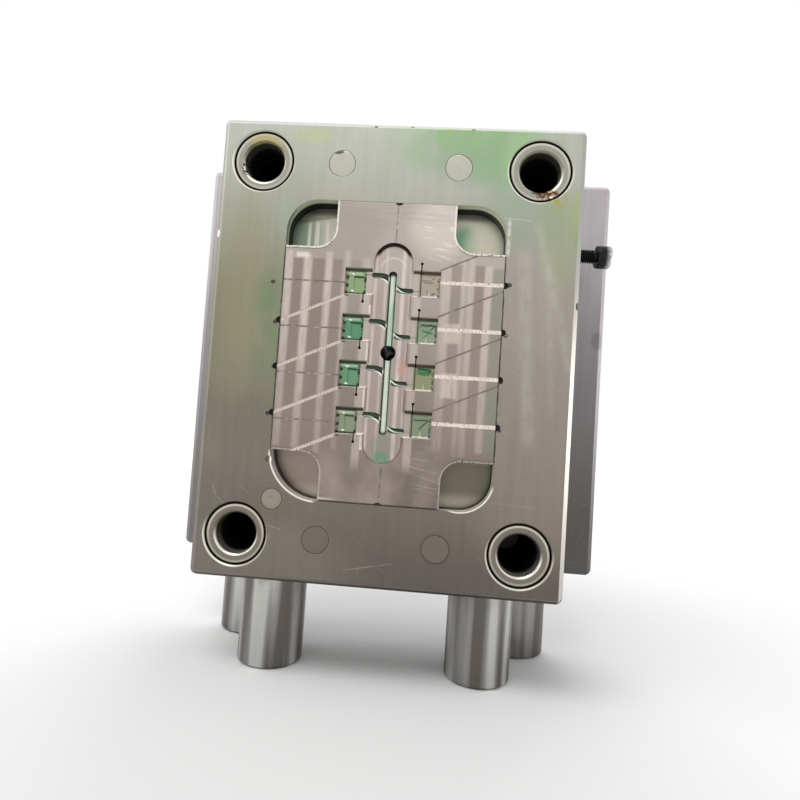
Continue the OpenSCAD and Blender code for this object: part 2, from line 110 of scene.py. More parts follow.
class MouldPaints(bpy.types.PropertyGroup):
    """Colours of the finishes"""

    # The top and low steel colours carry a painted reflection: pale at the top, brownish at the lower edge
    steel_top: colour_property("Steel, top", "Ground steel near the top edge", paint(178, 180, 170))
    steel_left: colour_property("Steel, left", "Ground steel half way down on the left", paint(140, 138, 116))
    steel_right: colour_property("Steel, right", "Ground steel half way down on the right", paint(160, 152, 145))
    steel_low: colour_property("Steel, low", "Ground steel at the lower edge", paint(104, 98, 91))
    # The insert's top and foot colours carry a painted reflection: paler at the top
    insert_top: colour_property("Insert, top", "Milled insert at its top", paint(178, 169, 162))
    insert_low: colour_property("Insert, low", "Milled insert at its foot", paint(118, 106, 100))
    insert_stripe: colour_property("Insert, stripes", "Bright milling stripes", paint(206, 192, 182))
    insert_shade: colour_property("Insert, dark stripes", "Dark milling stripes", paint(134, 118, 112))
    film: colour_property("Rust preventive", "Thin green film on the plate", paint(140, 172, 126))
    clamp: colour_property("Clamp plate", "Ground steel of the clamp plate", paint(128, 124, 127))
    bush: colour_property("Bush steel", "Hardened and ground bushes", paint(160, 158, 144))
    pad: colour_property("Pad steel", "Hardened pads and the index pin", paint(186, 184, 172))
    leg: colour_property("Leg steel", "Turned and polished legs", paint(150, 148, 146))
    black: colour_property("Black oxide", "Black screws", paint(30, 30, 31))
    grime: colour_property("Grime", "Old oil and dirt", paint(34, 32, 28))
    floor: colour_property("Floor", "Pale floor", (0.93, 0.93, 0.93))


class MouldSizes(bpy.types.PropertyGroup):
    """Sizes of the pieces that are made here"""

    edge: length_property("Plate edges", "Width of the eased edges of the plates", 0.2 * MM)
    fine_edge: length_property("Fine edges", "Width of the eased edges of small pieces", 0.08 * MM)
    steps: IntProperty(name="Round steps", description="Faces round a turned piece", default=96, min=24, max=192)
    knurls: IntProperty(name="Knurls", description="Ribs round the head of a cap screw", default=40, min=12, max=80)
    side_pitch: length_property("Side screw pitch", "Thread pitch of the side screw", 1.0 * MM)
    lift_pitch: length_property("Lifting pitch", "Thread pitch of the lifting hole", 1.75 * MM)
    port_pitch: length_property("Port pitch", "Thread pitch of the coolant ports", 1.34 * MM)


class MouldStage(bpy.types.PropertyGroup):
    """Camera and light"""

    camera_place: FloatVectorProperty(
        name="Camera place",
        description="Where the camera stands",
        default=(0.01983, -0.26061, 0.10697),
        subtype="XYZ",
        unit="LENGTH",
        precision=5,
    )
    camera_turn: FloatVectorProperty(
        name="Camera turn",
        description="How the camera is turned",
        default=tuple(math.radians(a) for a in (92.4097, -3.8252, 3.3946)),
        subtype="EULER",
        unit="ROTATION",
    )
    lens: FloatProperty(name="Lens", description="Focal length in millimetres", default=24.525)
    sky: FloatProperty(name="Sky", description="Strength of the light from all round", default=0.55, min=0.0)


# Modelling helpers


def pick(*pieces):
    """Selects only these pieces, the first one active."""
    bpy.ops.object.select_all(action="DESELECT")
    for piece in pieces:
        piece.select_set(True)
    bpy.context.view_layer.objects.active = pieces[0]


class editing:
    """Edit mode for one piece, with nothing selected at the start."""

    def __init__(self, piece, kind="VERT"):
        self.piece, self.kind = piece, kind

    def __enter__(self):
        pick(self.piece)
        bpy.ops.object.mode_set(mode="EDIT")
        bpy.ops.mesh.select_mode(type=self.kind)
        bpy.ops.mesh.select_all(action="DESELECT")

    def __exit__(self, *_):
        bpy.ops.object.mode_set(mode="OBJECT")


def choose(piece, kind, test):
    """Selects the vertices, edges or faces of a piece in edit mode that pass a test of their middle and themselves."""
    bpy.ops.object.mode_set(mode="OBJECT")
    mesh = piece.data
    for group in (mesh.vertices, mesh.edges, mesh.polygons):
        group.foreach_set("select", [False] * len(group))
    places = mesh.vertices
    if kind == "VERT":
        for part in mesh.vertices:
            part.select = test(part.co, part)
    elif kind == "EDGE":
        for part in mesh.edges:
            a, b = (places[i].co for i in part.vertices)
            part.select = test((a + b) / 2, part)
    else:
        for part in mesh.polygons:
            part.select = test(part.center, part)
    bpy.ops.object.mode_set(mode="EDIT")
    bpy.ops.mesh.select_mode(type=kind)


def apply_modifier(piece, kind, **settings):
    pick(piece)
    made = piece.modifiers.new(kind.lower(), kind)
    for key, value in settings.items():
        setattr(made, key, value)
    bpy.ops.object.modifier_apply(modifier=made.name)


def smooth(piece, angle=32):
    """Smooth shading that leaves large flat faces flat."""
    pick(piece)
    bpy.ops.object.shade_smooth_by_angle(angle=math.radians(angle))
    apply_modifier(piece, "WEIGHTED_NORMAL", keep_sharp=True, weight=80)


def place(piece, at, turn=(0, 0, 0)):
    """Turns a piece and moves it to its place, and leaves that in its mesh."""
    pick(piece)
    piece.rotation_euler = turn
    piece.location = at
    bpy.ops.object.transform_apply(location=True, rotation=True, scale=True)


def close_up(piece):
    """Merges doubles, fills open rims and turns the faces outwards."""
    with editing(piece):
        bpy.ops.mesh.select_all(action="SELECT")
        bpy.ops.mesh.remove_doubles(threshold=WELD)
        bpy.ops.mesh.select_all(action="DESELECT")
        bpy.ops.mesh.select_non_manifold(extend=False, use_wire=False, use_multi_face=False, use_verts=False)
        bpy.ops.mesh.fill_holes(sides=0)
        bpy.ops.mesh.select_all(action="SELECT")
        bpy.ops.mesh.normals_make_consistent(inside=False)


def turned(name, profile, steps):
    """A turned piece along Z. A circle is drawn through a profile of (radius, height) in millimetres."""
    radius, height = profile[0]
    bpy.ops.object.select_all(action="DESELECT")
    bpy.ops.mesh.primitive_circle_add(vertices=steps, radius=radius * MM, location=(0, 0, height * MM))
    piece = bpy.context.object
    piece.name = name
    bpy.ops.object.transform_apply(location=True, rotation=True, scale=True)
    with editing(piece):
        bpy.ops.mesh.select_all(action="SELECT")
        for next_radius, next_height in profile[1:]:
            bpy.ops.mesh.extrude_region_move(
                TRANSFORM_OT_translate={"value": (0, 0, (next_height - height) * MM)}
            )
            ratio = next_radius / radius
            bpy.ops.transform.resize(value=(ratio, ratio, 1), center_override=(0, 0, next_height * MM))
            radius, height = next_radius, next_height
    close_up(piece)
    return piece


def eased_copy(node, width, test=None, angle=25, join_flats=True):
    """A copy of a CAD node with its doubles merged, its flat faces joined and its sharp edges eased."""
    mesh = NODES[node].data.copy()
    piece = bpy.data.objects.new(node + "_dressed", mesh)
    bpy.context.scene.collection.objects.link(piece)
    pick(piece)
    if mesh.has_custom_normals:
        bpy.ops.mesh.customdata_custom_splitnormals_clear()
    with editing(piece, "EDGE"):
        bpy.ops.mesh.select_all(action="SELECT")
        bpy.ops.mesh.remove_doubles(threshold=2 * WELD)
        if join_flats:
            bpy.ops.mesh.select_all(action="SELECT")
            bpy.ops.mesh.dissolve_limited(angle_limit=math.radians(0.3))
        bpy.ops.mesh.select_all(action="DESELECT")
        bpy.ops.mesh.edges_select_sharp(sharpness=math.radians(angle))
        if test:
            bpy.ops.object.mode_set(mode="OBJECT")
            places = mesh.vertices
            # a face that stays picked would pick its edges again
            mesh.polygons.foreach_set("select", [False] * len(mesh.polygons))
            for edge in mesh.edges:
                if edge.select:
                    edge.select = test(*(places[i].co for i in edge.vertices))
            bpy.ops.object.mode_set(mode="EDIT")
        bpy.ops.mesh.bevel(offset=width, segments=2, affect="EDGES", clamp_overlap=False, profile=0.5)
    # easing stays within the solid's own box
    low, high = ([end(corner[i] for corner in NODES[node].bound_box) for i in range(3)] for end in (min, max))
    for vertex in mesh.vertices:
        vertex.co = [min(max(value, a), b) for value, a, b in zip(vertex.co, low, high)]
    smooth(piece)
    return piece


def dress(piece, finish, node=None):
    """Gives a piece its finish, hangs it under the root body, and lets it stand for its CAD node."""
    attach(piece, "root")
    if node:
        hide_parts(node)
    piece.data.materials.clear()
    piece.data.materials.append(finish)


def dress_node(node, finish):
    """Gives a CAD node that stays in view its finish."""
    for slot in NODES[node].material_slots:
        slot.material = finish


def twin(piece, name):
    """A copy of a piece with its own mesh."""
    copy = piece.copy()
    copy.data = piece.data.copy()
    copy.name = name
    bpy.context.scene.collection.objects.link(copy)
    return copy


# Finishes


class Field:
    """A number that varies over a surface. Sums and products of fields make math nodes."""

    def __init__(self, finish, socket):
        self.finish, self.socket = finish, socket

    def math(self, operation, *others):
        node = self.finish.node("Math", self, *others, operation=operation)
        return Field(self.finish, node.outputs[0])

    def __add__(self, other):
        return self.math("ADD", other)

    def __sub__(self, other):
        return self.math("SUBTRACT", other)

    def __mul__(self, other):
        return self.math("MULTIPLY", other)

    def __rsub__(self, other):
        return (self * -1.0) + other

    def __abs__(self):
        return self.math("ABSOLUTE")

    __radd__, __rmul__ = __add__, __mul__

    def most(self, other):
        return self.math("MAXIMUM", other)

    def least(self, other):
        return self.math("MINIMUM", other)

    def ramp(self, low, high):
        """Rises smoothly from 0 at low to 1 at high. It falls where low is above high."""
        node = self.finish.node("MapRange", self, low, high, 0.0, 1.0, interpolation_type="SMOOTHSTEP")
        return Field(self.finish, node.outputs[0])

    def band(self, low, high, soft):
        """1 between low and high, with soft edges."""
        return self.ramp(low - soft, low + soft) * self.ramp(high + soft, high - soft)


def opaque(colour):
    """A colour as a socket takes it. What comes out of a node stays as it is."""
    return colour if isinstance(colour, bpy.types.NodeSocket) else (*colour, 1.0)


class Finish:
    """A node material, built up in the order in which the real surface gets its looks.

    x, y and z are millimetres from the middle of the parting face: to the right, inwards and up."""

    def __init__(self, name, colour, roughness, metallic=0.8):
        self.material = bpy.data.materials.new(name)
        self.material.use_nodes = True
        self.tree = self.material.node_tree
        self.shader = self.tree.nodes["Principled BSDF"]
        self.shader.inputs["Metallic"].default_value = metallic
        self.colour, self.rough, self.height = colour, roughness, None
        spot = self.node("TexCoord").outputs["Object"]
        shift = (0.0, -FACE_Y / MM, -MID_Z / MM)
        self.place = self.node("Mapping", spot, shift, (0, 0, 0), (1 / MM,) * 3).outputs[0]
        self.x, self.y, self.z = (Field(self, s) for s in self.node("SeparateXYZ", self.place).outputs)

    @property
    def wide(self):
        """How far it is from the middle to either side."""
        return abs(self.x)

    @property
    def tall(self):
        """How far it is from the middle up or down."""
        return abs(self.z)

    def node(self, kind, *inputs, **settings):
        made = self.tree.nodes.new("ShaderNode" + kind)
        for key, value in settings.items():
            setattr(made, key, value)
        for socket, value in zip(made.inputs, inputs):
            self.plug(socket, value)
        return made

    def plug(self, socket, value):
        if isinstance(value, Field):
            value = value.socket
        if isinstance(value, bpy.types.NodeSocket):
            self.tree.links.new(value, socket)
        elif value is not None:
            socket.default_value = value

    def noise(self, sizes, detail=2.0, seed=0.0):
        """Cloudy noise from 0 to 1. sizes are the lengths of its cells along x, y and z."""
        shift, cells = (seed, seed * 0.7, seed * 1.3), tuple(1 / s for s in sizes)
        return self.noise_on(self.node("Mapping", self.place, shift, None, cells), detail)

    def slanted_noise(self, angle, length, width, detail=1.0, seed=0.0):
        """Noise drawn out along a line on the face, at an angle from x."""
        turn, sizes = (0, -math.radians(angle), 0), (length, 1e6, width)
        drawn = self.node("Mapping", self.place, (0, seed, 0), turn, sizes, vector_type="TEXTURE")
        return self.noise_on(drawn, detail)

    def noise_on(self, mapping, detail):
        made = self.node("TexNoise", mapping.outputs[0])
        made.inputs["Scale"].default_value = 1.0
        made.inputs["Detail"].default_value = detail
        return Field(self, made.outputs[0])

    def radius(self, x, z):
        """Distance from a point on the face."""
        dx, dz = self.x - x, self.z - z
        return (dx * dx + dz * dz).math("SQRT")

    def box(self, x0, x1, z0, z1, soft=0.4):
        return self.x.band(x0, x1, soft) * self.z.band(z0, z1, soft)

    def spot(self, x, z, rx, rz, soft=0.5):
        """A soft round or oval spot. soft is the share of its radius over which it fades."""
        dx, dz = (self.x - x) * (1 / rx), (self.z - z) * (1 / rz)
        return (dx * dx + dz * dz).ramp(1 + soft, max(0.0, 1 - soft))

    def line(self, x0, z0, x1, z1, width, soft=0.15):
        """A straight mark from one point on the face to another."""
        length = math.hypot(x1 - x0, z1 - z0)
        c, s = (x1 - x0) / length, (z1 - z0) / length
        dx, dz = self.x - x0, self.z - z0
        along, across = dx * c + dz * s, dz * c - dx * s
        return along.band(0, length, soft * 3) * abs(across).ramp(width / 2 + soft, width / 2 - soft)

    def arc(self, x, z, radius, width, soft=0.2):
        """A ring on the face."""
        return abs(self.radius(x, z) - radius).ramp(width / 2 + soft, width / 2 - soft)

    def mix(self, amount, first, second, first_socket=6, out=2, **settings):
        """A Mix node. Its sockets for colours are the sixth, the seventh and, on its other side, the second."""
        made = self.node("Mix", **settings)
        for socket, value in ((0, amount), (first_socket, first), (first_socket + 1, second)):
            self.plug(made.inputs[socket], value)
        return made.outputs[out]

    def blend(self, amount, first, second):
        """Goes from the first colour to the second where amount goes from 0 to 1."""
        return self.mix(amount, opaque(first), opaque(second), data_type="RGBA")

    def tint(self, amount, colour):
        """Lays a colour over what is there, as strongly as amount says."""
        self.colour = self.blend(amount, self.colour, colour)

    def tint_all(self, amounts, colour):
        """Lays one colour over several places, in a single layer: a material holds only about a hundred layers."""
        amounts = list(amounts)
        for amount in amounts[1:]:
            amounts[0] = amounts[0].most(amount)
        self.tint(amounts[0], colour)

    def marks(self, shape, where, *rows):
        """Lays down marks of one shape. A row has the numbers of the shape, how strong it is and its colour, and it may
        end with a noise that breaks the mark up and the two levels between which it does."""
        for numbers, amount, colour, *broken in rows:
            field = shape(*numbers)
            if broken:
                noise, low, high = broken
                field = field * noise.ramp(low, high)
            if where:
                field = field * where
            self.tint(field * amount, colour)

    def shade(self, factor):
        """Multiplies the colour by a field."""
        grey = self.node("CombineColor", factor, factor, factor).outputs[0]
        self.colour = self.mix(1.0, opaque(self.colour), grey, data_type="RGBA", blend_type="MULTIPLY")

    def roughen(self, amount, value):
        """Takes the roughness towards a value, as strongly as amount says."""
        self.rough = Field(self, self.mix(amount, self.rough, value, 2, 0, data_type="FLOAT"))

    def lift(self, height):
        """Adds to the relief, in millimetres."""
        self.height = height if self.height is None else self.height + height

    def done(self):
        self.plug(self.shader.inputs["Base Color"], opaque(self.colour))
        self.plug(self.shader.inputs["Roughness"], self.rough)
        if self.height is not None:
            bump = self.node("Bump")
            bump.inputs["Distance"].default_value = MM
            self.plug(bump.inputs["Height"], self.height)
            self.plug(self.shader.inputs["Normal"], bump.outputs[0])
        return self.material


def ground_marks(finish):
    """Fine lines of a surface grinder, soft clouds and small scratches."""
    fine = finish.noise((0.22, 3.0, 16.0), 3.0)
    broad = finish.noise((2.6, 14.0, 60.0), 2.0, 3.1)
    clouds = finish.noise((26.0, 26.0, 34.0), 3.0, 7.7)
    finish.shade(fine * 0.16 + broad * 0.2 + clouds * 0.22 + 0.71)
    finish.roughen(fine * 0.5, 0.55)
    finish.lift(fine * 0.006)


def scratches(finish, where, amount=0.5, colour=(0.75, 0.74, 0.7)):
    """Random thin scratches in three directions."""
    for angle, seed in ((24, 2.0), (-38, 5.0), (81, 9.0)):
        line = finish.slanted_noise(angle, 13.0, 0.3, 1.0, seed).ramp(0.735, 0.775)
        finish.tint(line * where * amount, colour)
        finish.lift(line * where * -0.004)


def front_plate_finish(paints):
    """Ground cavity plate: pale and greenish at the top and brownish below in a painted reflection, with green film,
    wipe marks and nicks, and painted highlights and shade on its chamfers, hole edges and pocket walls.
    """
    f = Finish("ground_steel", paints.steel_top, 0.42)
    # painted reflection: the steel is pale at the top and brownish towards the foot
    side = f.blend(f.x.ramp(-55, 55), paints.steel_left, paints.steel_right)
    f.colour = f.blend(f.z.ramp(-75, 25), paints.steel_low, side)
    f.tint(f.z.ramp(18, 98), paints.steel_top)
    f.tint(f.z.band(-76, -34, 12) * 0.1, paint(190, 178, 166))
    f.tint(f.spot(60, -48, 24, 34, 0.9) * 0.15, paint(200, 186, 172))
    f.tint(f.spot(-50, -88, 40, 16, 0.9) * 0.14, paint(190, 184, 172))
    ground_marks(f)
    face = f.y.ramp(0.35, 0.05)
    clouds = f.noise((14.0, 14.0, 18.0), 3.0, 4.4)
    small = f.noise((3.0, 3.0, 4.0), 3.0, 8.1)
    # green rust preventive at the upper right, where it ran down, and on the left
    f.marks(
        f.spot,
        face,
        ((30, 86, 30, 14, 0.95), 0.7, paints.film, clouds, 0.2, 0.6),
        ((31, 84, 22, 13, 0.9), 0.3, paint(128, 148, 124)),
        ((28, 90, 15, 5, 0.9), 0.75, paint(140, 176, 124), small, 0.25, 0.6),
        ((40, 78, 9, 10, 0.9), 0.45, paint(136, 170, 128)),
        ((52, 79, 14, 20, 0.8), 0.3, paints.film, clouds, 0.25, 0.6),
        ((50, 81, 8, 11, 0.9), 0.5, paint(158, 194, 142)),
        ((50, 57, 22, 12, 0.9), 0.45, paint(142, 160, 134)),
        ((66, 50, 8, 22, 0.8), 0.4, paint(150, 164, 116)),
        ((71.6, 61, 1.6, 9, 0.8), 0.35, paint(168, 178, 96)),
        ((73, 49, 1.2, 6, 0.8), 0.5, paint(146, 160, 112)),
        ((-51, 9, 6.5, 19, 0.9), 0.5, paint(96, 134, 92), clouds, 0.3, 0.55),
        ((-46, 55, 3.0, 9, 0.9), 0.3, paint(150, 172, 156)),
        ((-37, 88, 9, 3.2, 0.9), 0.55, paint(178, 184, 132), small, 0.2, 0.5),
        ((-61, 22, 8, 42, 0.9), 0.4, paint(146, 142, 112)),
    )
    # wipe marks on the right and scratches
    wiped, worn = paint(208, 202, 190), paint(168, 166, 146)
    f.marks(
        f.line,
        face,
        ((57, 56, 73, -4, 3.4, 1.6), 0.2, wiped, small, 0.1, 0.7),
        ((52, 44, 58, -34, 5.0, 1.6), 0.2, wiped, small, 0.1, 0.7),
        ((62, 40, 66, -20, 1.6, 1.6), 0.2, wiped, small, 0.1, 0.7),
        ((43.4, 57, 54.4, 56.4, 0.3), 0.4, paint(222, 224, 208)),
        ((45, -57, 62, -58, 0.3), 0.35, paint(170, 160, 150)),
        ((-67, -61, -60, -68, 0.3, 0.3), 0.6, worn, small, 0.2, 0.6),
        ((-68, -57.5, -66, -62, 0.3, 0.3), 0.6, worn, small, 0.2, 0.6),
        ((-47, -72, -38, -74, 0.3, 0.3), 0.6, worn, small, 0.2, 0.6),
        ((-12, -88, 7, -84, 0.3, 0.3), 0.6, worn, small, 0.2, 0.6),
    )
    scratches(f, face, 0.22)
    # a stain runs over the rim of the lower right pad
    f.tint(f.arc(24, -77, 6.0, 0.5, 0.3) * face * 0.3, paint(78, 72, 66))
    # chamfers: painted highlights, bright on the right low down and greyer higher up, pale on the top; painted shade on
    # the left and at the foot, with a painted light line at the foot
    bevel = f.y.band(0.1, 2.3, 0.06)
    f.tint(bevel * f.x.ramp(72.6, 72.9) * f.z.ramp(40, -20) * 0.5, paint(236, 232, 222))
    f.tint(bevel * f.x.ramp(72.6, 72.9) * f.z.ramp(-10, 70) * 0.6, paint(150, 156, 150))
    f.tint(bevel * f.z.ramp(92.6, 92.9) * 0.3, paint(216, 216, 210))
    f.tint(bevel * f.x.ramp(-72.6, -72.9) * f.y.ramp(0.8, 1.3) * 0.4, paint(96, 98, 90))
    f.tint(bevel * f.z.ramp(-92.6, -92.9) * f.y.ramp(0.8, 1.2) * 0.65, paint(50, 48, 46))
    f.tint(bevel * f.z.ramp(-92.6, -92.9) * f.y.ramp(1.1, 0.7) * 0.3, paint(170, 160, 150))
    # nicks and chips
    chip = f.spot(-74.4, 46, 0.9, 1.6, 0.5) * f.y.ramp(3, 1.5)
    f.tint(chip, paint(240, 236, 220))
    f.lift(chip * -0.3)
    f.tint(f.spot(74.7, 23, 0.9, 1.6, 0.3) * f.y.ramp(3, 1.5), paints.grime)
    for x, z in ((4, 93.6), (29, 93.2), (-11, 93.0)):
        f.tint(f.spot(x, z, 0.8, 0.6, 0.5) * f.y.ramp(2, 1), paint(96, 96, 88))
    # round the bush holes: a painted highlight on the lower part of each hole's chamfer, brightest at the lower left,
    # and painted shade deeper in the hole
    for x in (-57, 57):
        for z in (-77, 77):
            r = f.radius(x, z)
            ring = r.ramp(13.5, 13.3)
            f.tint(ring * f.z.ramp(z + 5, z - 3) * f.y.ramp(0.5, 0.3) * 0.6, paint(226, 222, 206))
            lower_left_highlight = ring * f.z.ramp(z + 8, z) * f.x.ramp(x + 6, x - 6)
            f.tint(lower_left_highlight * f.y.ramp(0.7, 0.4) * 0.5, paint(255, 253, 244))
            f.tint(ring * f.y.ramp(0.45, 0.7), paint(36, 34, 20))
    f.marks(f.spot, face, ((64, 65.6, 4.0, 3.6, 0.8), 0.75, paint(166, 158, 50), small, 0.4, 0.6))
    # dark nicks along the pocket, where the vents run out
    specks = f.noise((1.1, 1.1, 1.1), 2.0, 1.5)
    for x, z, r in (
        (-49.1, 26.4, 1.0),
        (-46.9, 10, 1.1),
        (-46.2, -8.6, 0.9),
        (-47.2, -27.6, 1.0),
        (46.9, 29.8, 1.2),
        (46.6, 9.4, 1.0),
        (46.0, -9.4, 0.8),
        (46.3, -28.6, 0.9),
    ):
        f.marks(f.spot, face, ((x, z, r, r * 0.8, 0.4), 0.85, paint(54, 54, 40), specks, 0.36, 0.46))
    f.tint(f.y.band(0.25, 1.6, 0.1) * f.wide.band(44, 48.6, 0.3) * f.tall.ramp(40, 38), paints.grime)
    rim = abs(f.wide - 45.15).ramp(0.3, 0.1) * f.tall.ramp(43, 40) * face
    f.tint(rim * small.ramp(0.3, 0.55) * 0.8, paint(58, 54, 48))
    # pocket walls: above, pale at the rim with painted shade deeper in and green film on the left; below, a painted
    # highlight with a dark foot; painted highlights along the lower notch edges and on the right rim and wall of the
    # upper right notch
    wall = f.y.ramp(0.1, 0.3) * f.wide.ramp(45.4, 45.1) * f.tall.ramp(61.9, 61.6) * f.y.ramp(31, 30)
    f.tint(wall * f.z.ramp(38, 44) * 0.95, paint(232, 238, 214))
    f.tint(wall * f.z.ramp(38, 44) * f.y.ramp(3.2, 4.4), paint(14, 26, 16))
    f.tint(wall * f.z.ramp(38, 44) * f.x.ramp(-40, -44) * f.y.ramp(3.4, 1.0) * 0.6, paint(60, 84, 66))
    right_rim_highlight = f.x.band(45.1, 46.3, 0.4) * f.z.band(42, 56, 1.5) * face
    f.tint(right_rim_highlight * small.ramp(0.2, 0.5) * 0.6, paint(226, 230, 212))
    f.tint(wall * f.z.ramp(-38, -44) * f.y.ramp(5.2, 4.2), paint(255, 253, 246))
    f.tint(wall * f.z.ramp(-38, -44) * f.y.ramp(4.6, 5.6) * 0.85, paint(52, 46, 40))
    # painted highlights along the edges of the lower notches
    edges = ((f.arc(-25, -41.5, 20.45, 0.7), -25, -41.5), (f.arc(32, -48.5, 13.4, 0.6), 26, -50))
    bright = (edge * f.x.ramp(x, x * 1.08) * f.z.ramp(z, z - 3) * face * 0.9 for edge, x, z in edges)
    f.tint_all(bright, paint(244, 242, 232))
    f.tint(wall * f.x.ramp(44.6, 44.9) * f.z.band(41.5, 55, 1.5) * f.y.ramp(1.6, 1.0), paint(232, 232, 218))
    return f.done()


def insert_finish(paints):
    """Milled insert: mauve grey, paler at the top in a painted reflection, with bright stripes up and down, green film
    in the runners, pale vents, and painted highlights and shade in the recess, branches, side pockets and corner
    notches.
    """
    f = Finish("insert_steel", paints.insert_top, 0.4)
    # painted reflection: the insert is paler at its top than at its foot
    f.colour = f.blend(f.z.ramp(-62, 58), paints.insert_low, paints.insert_top)
    fine = f.noise((0.25, 3.0, 9.0), 3.0)
    clouds = f.noise((18.0, 18.0, 24.0), 3.0, 2.2)
    ragged = f.noise((1.0, 1.0, 7.0), 3.0, 6.0)
    f.shade(fine * 0.14 + clouds * 0.22 + 0.82)
    f.lift(fine * 0.006)
    face = f.y.ramp(0.12, 0.04)
    left, right = f.x.ramp(-17, -18), f.x.ramp(17, 18)
    f.tint(f.x.ramp(14, 26) * f.z.band(-40, 12, 8) * 0.2, paint(206, 190, 178))
    f.tint(f.spot(30, 38, 18, 14, 0.8) * 0.1, paint(206, 196, 182))
    f.tint(f.spot(-26, 48, 18, 16, 0.9) * 0.3, paint(132, 122, 116))
    f.tint(f.x.ramp(-8, -24) * f.z.ramp(-8, -30) * 0.12, paint(206, 190, 178))
    # milling stripes of the wings: left edge, right edge, foot, top, strength
    rough = ragged.ramp(0.15, 0.6) * 0.7 + 0.3
    stripes = (
        (-44.4, -41.6, -40, 40, 0.7),
        (-36.7, -33.8, -42, 38.5, 0.9),
        (-27.6, -25.2, -42, 40, 0.75),
        (-20.0, -17.6, 27, 41, 0.9),
        (-20.4, -18.4, -40, 26, 0.5),
        (-12.4, -9.4, 30, 38, 0.75),
        (20.0, 23.6, -38, 36, 0.5),
        (28.0, 29.6, -40, 40, 0.5),
        (30.6, 33.0, -40, 40, 0.55),
        (37.2, 40.0, -38, 37, 0.8),
    )
    f.tint_all(
        (
            f.box(x0, x1, z0, z1, 0.8) * (f.z.ramp(z0, z0 + 60) * 0.6 + 0.4) * rough * face * amount
            for x0, x1, z0, z1, amount in stripes
        ),
        paints.insert_stripe,
    )
    # dark stripes between them: left edge, right edge, strength
    bands = ((-41.2, -37.2, 0.75), (-33.2, -28.2, 0.75), (-24.8, -20.8, 0.6))
    bands += ((-17.4, -13.0, 0.3), (23.8, 27.8, 0.5), (33.2, 37.0, 0.6))
    f.tint_all(
        (f.box(x0, x1, -42, 37, 0.6) * (f.z.ramp(-40, 20) * 0.5 + 0.5) * face * amount for x0, x1, amount in bands),
        paints.insert_shade,
    )
    f.tint(f.box(40.4, 45, -40, 36, 0.8) * face * 0.5, paint(126, 132, 116))
    f.tint(f.box(-40.2, -34.8, 37.2, 39.4, 0.8) * face * 0.85, paint(228, 214, 204))
    dabs = ((5, 13), (-17, -7))
    f.tint_all((f.box(22, 28.5, z0, z1, 0.6) * rough * face * 0.8 for z0, z1 in dabs), paint(206, 190, 178))
    # wavy polishing marks beside the recess, at the top under a painted highlight, and at the foot
    broken = f.noise((5.0, 5.0, 3.0), 2.0, 3.7).ramp(0.35, 0.6)
    waves = f.slanted_noise(-9, 11.0, 0.9, 3.0, 4.0).ramp(0.5, 0.66)
    f.tint(f.spot(18, 52, 12, 12, 0.8) * face * 0.7, paint(216, 204, 194))
    f.tint(f.spot(19, 49, 9, 11, 0.6) * face * waves * broken * 0.75, paint(236, 226, 218))
    f.tint(f.spot(19, -47, 8, 10, 0.6) * face * waves * broken * 0.55, paint(176, 160, 150))
    level_waves = f.spot(-2, 56, 24, 5, 0.7) * face * f.slanted_noise(1, 14.0, 1.2, 2.0, 7.0).ramp(0.4, 0.6)
    f.tint(level_waves * 0.3, paint(160, 150, 146))
    # lighter patches on the face and beside the recess
    f.tint(f.spot(4, 42, 14, 8, 0.7) * face * 0.2, paint(190, 176, 166))
    f.tint(f.spot(0, -52, 22, 16, 0.95) * clouds.ramp(0.2, 0.7) * face * 0.4, paint(206, 192, 182))
    f.tint(f.wide.band(8.8, 12, 0.6) * abs(f.z + 6).ramp(44, 36) * face * 0.4, paint(218, 204, 194))
    scratches(f, face, 0.25)
    # recess: painted streaks of light on its floor, a painted highlight inside its upper end and painted shade on the
    # end wall, paler leaning walls, green film at the foot and salmon beside the sprue
    recess = f.y.band(1.1, 1.45, 0.15) * f.wide.ramp(8.6, 8.0)
    lean = f.y.band(0.25, 1.15, 0.1) * f.wide.ramp(8.9, 8.2)
    f.tint(recess * 0.45, paint(190, 178, 168))
    bands = ((-7.6, -6.4, 0.5), (-3.2, -2.2, 0.35), (3.6, 5.2, 0.6), (7.0, 7.8, 0.35))
    f.tint_all((f.x.band(x0, x1, 0.4) * recess * rough * amount for x0, x1, amount in bands), paint(228, 214, 206))
    bands = ((-6.0, -3.6, 0.55), (5.4, 6.8, 0.5), (2.2, 3.2, 0.3))
    f.tint_all(
        (f.x.band(x0, x1, 0.4) * recess * f.z.ramp(34, 22) * rough * amount for x0, x1, amount in bands),
        paint(166, 146, 146),
    )
    f.tint(recess * f.arc(0, 33.5, 5.4, 0.8, 0.5) * f.z.ramp(34, 36) * 0.5, paint(222, 212, 204))
    f.tint(f.spot(6.6, -6.4, 2.8, 3.8, 0.6) * recess * broken * 0.75, paint(196, 150, 134))
    f.tint(f.spot(0, -42.6, 3.6, 2.4, 0.7) * f.y.ramp(0.3, 1.0) * ragged.ramp(0.2, 0.5) * 0.7, paint(86, 148, 116))
    f.tint(f.spot(0, -38, 5, 5, 0.6) * recess * 0.4, paint(122, 134, 116))
    f.tint(abs(f.radius(0, 37) - 7.4).ramp(1.1, 0.5) * f.z.ramp(38.5, 41) * f.y.ramp(0.15, 0.4), paint(44, 38, 34))
    f.tint(lean * f.x.ramp(0, -1) * f.z.ramp(40, 36) * 0.55, paint(224, 210, 200))
    f.tint(lean * f.x.ramp(0, 1) * f.z.ramp(40, 36) * 0.4, paint(196, 182, 170))
    # runners: dark sides, pale green floors
    runner = f.wide.ramp(1.95, 1.8) * f.y.ramp(1.4, 1.55)
    branch = f.wide.band(1.6, 8.9, 0.15) * f.y.ramp(1.34, 1.5)
    f.tint(runner.most(branch) * 0.8, paint(120, 144, 124))
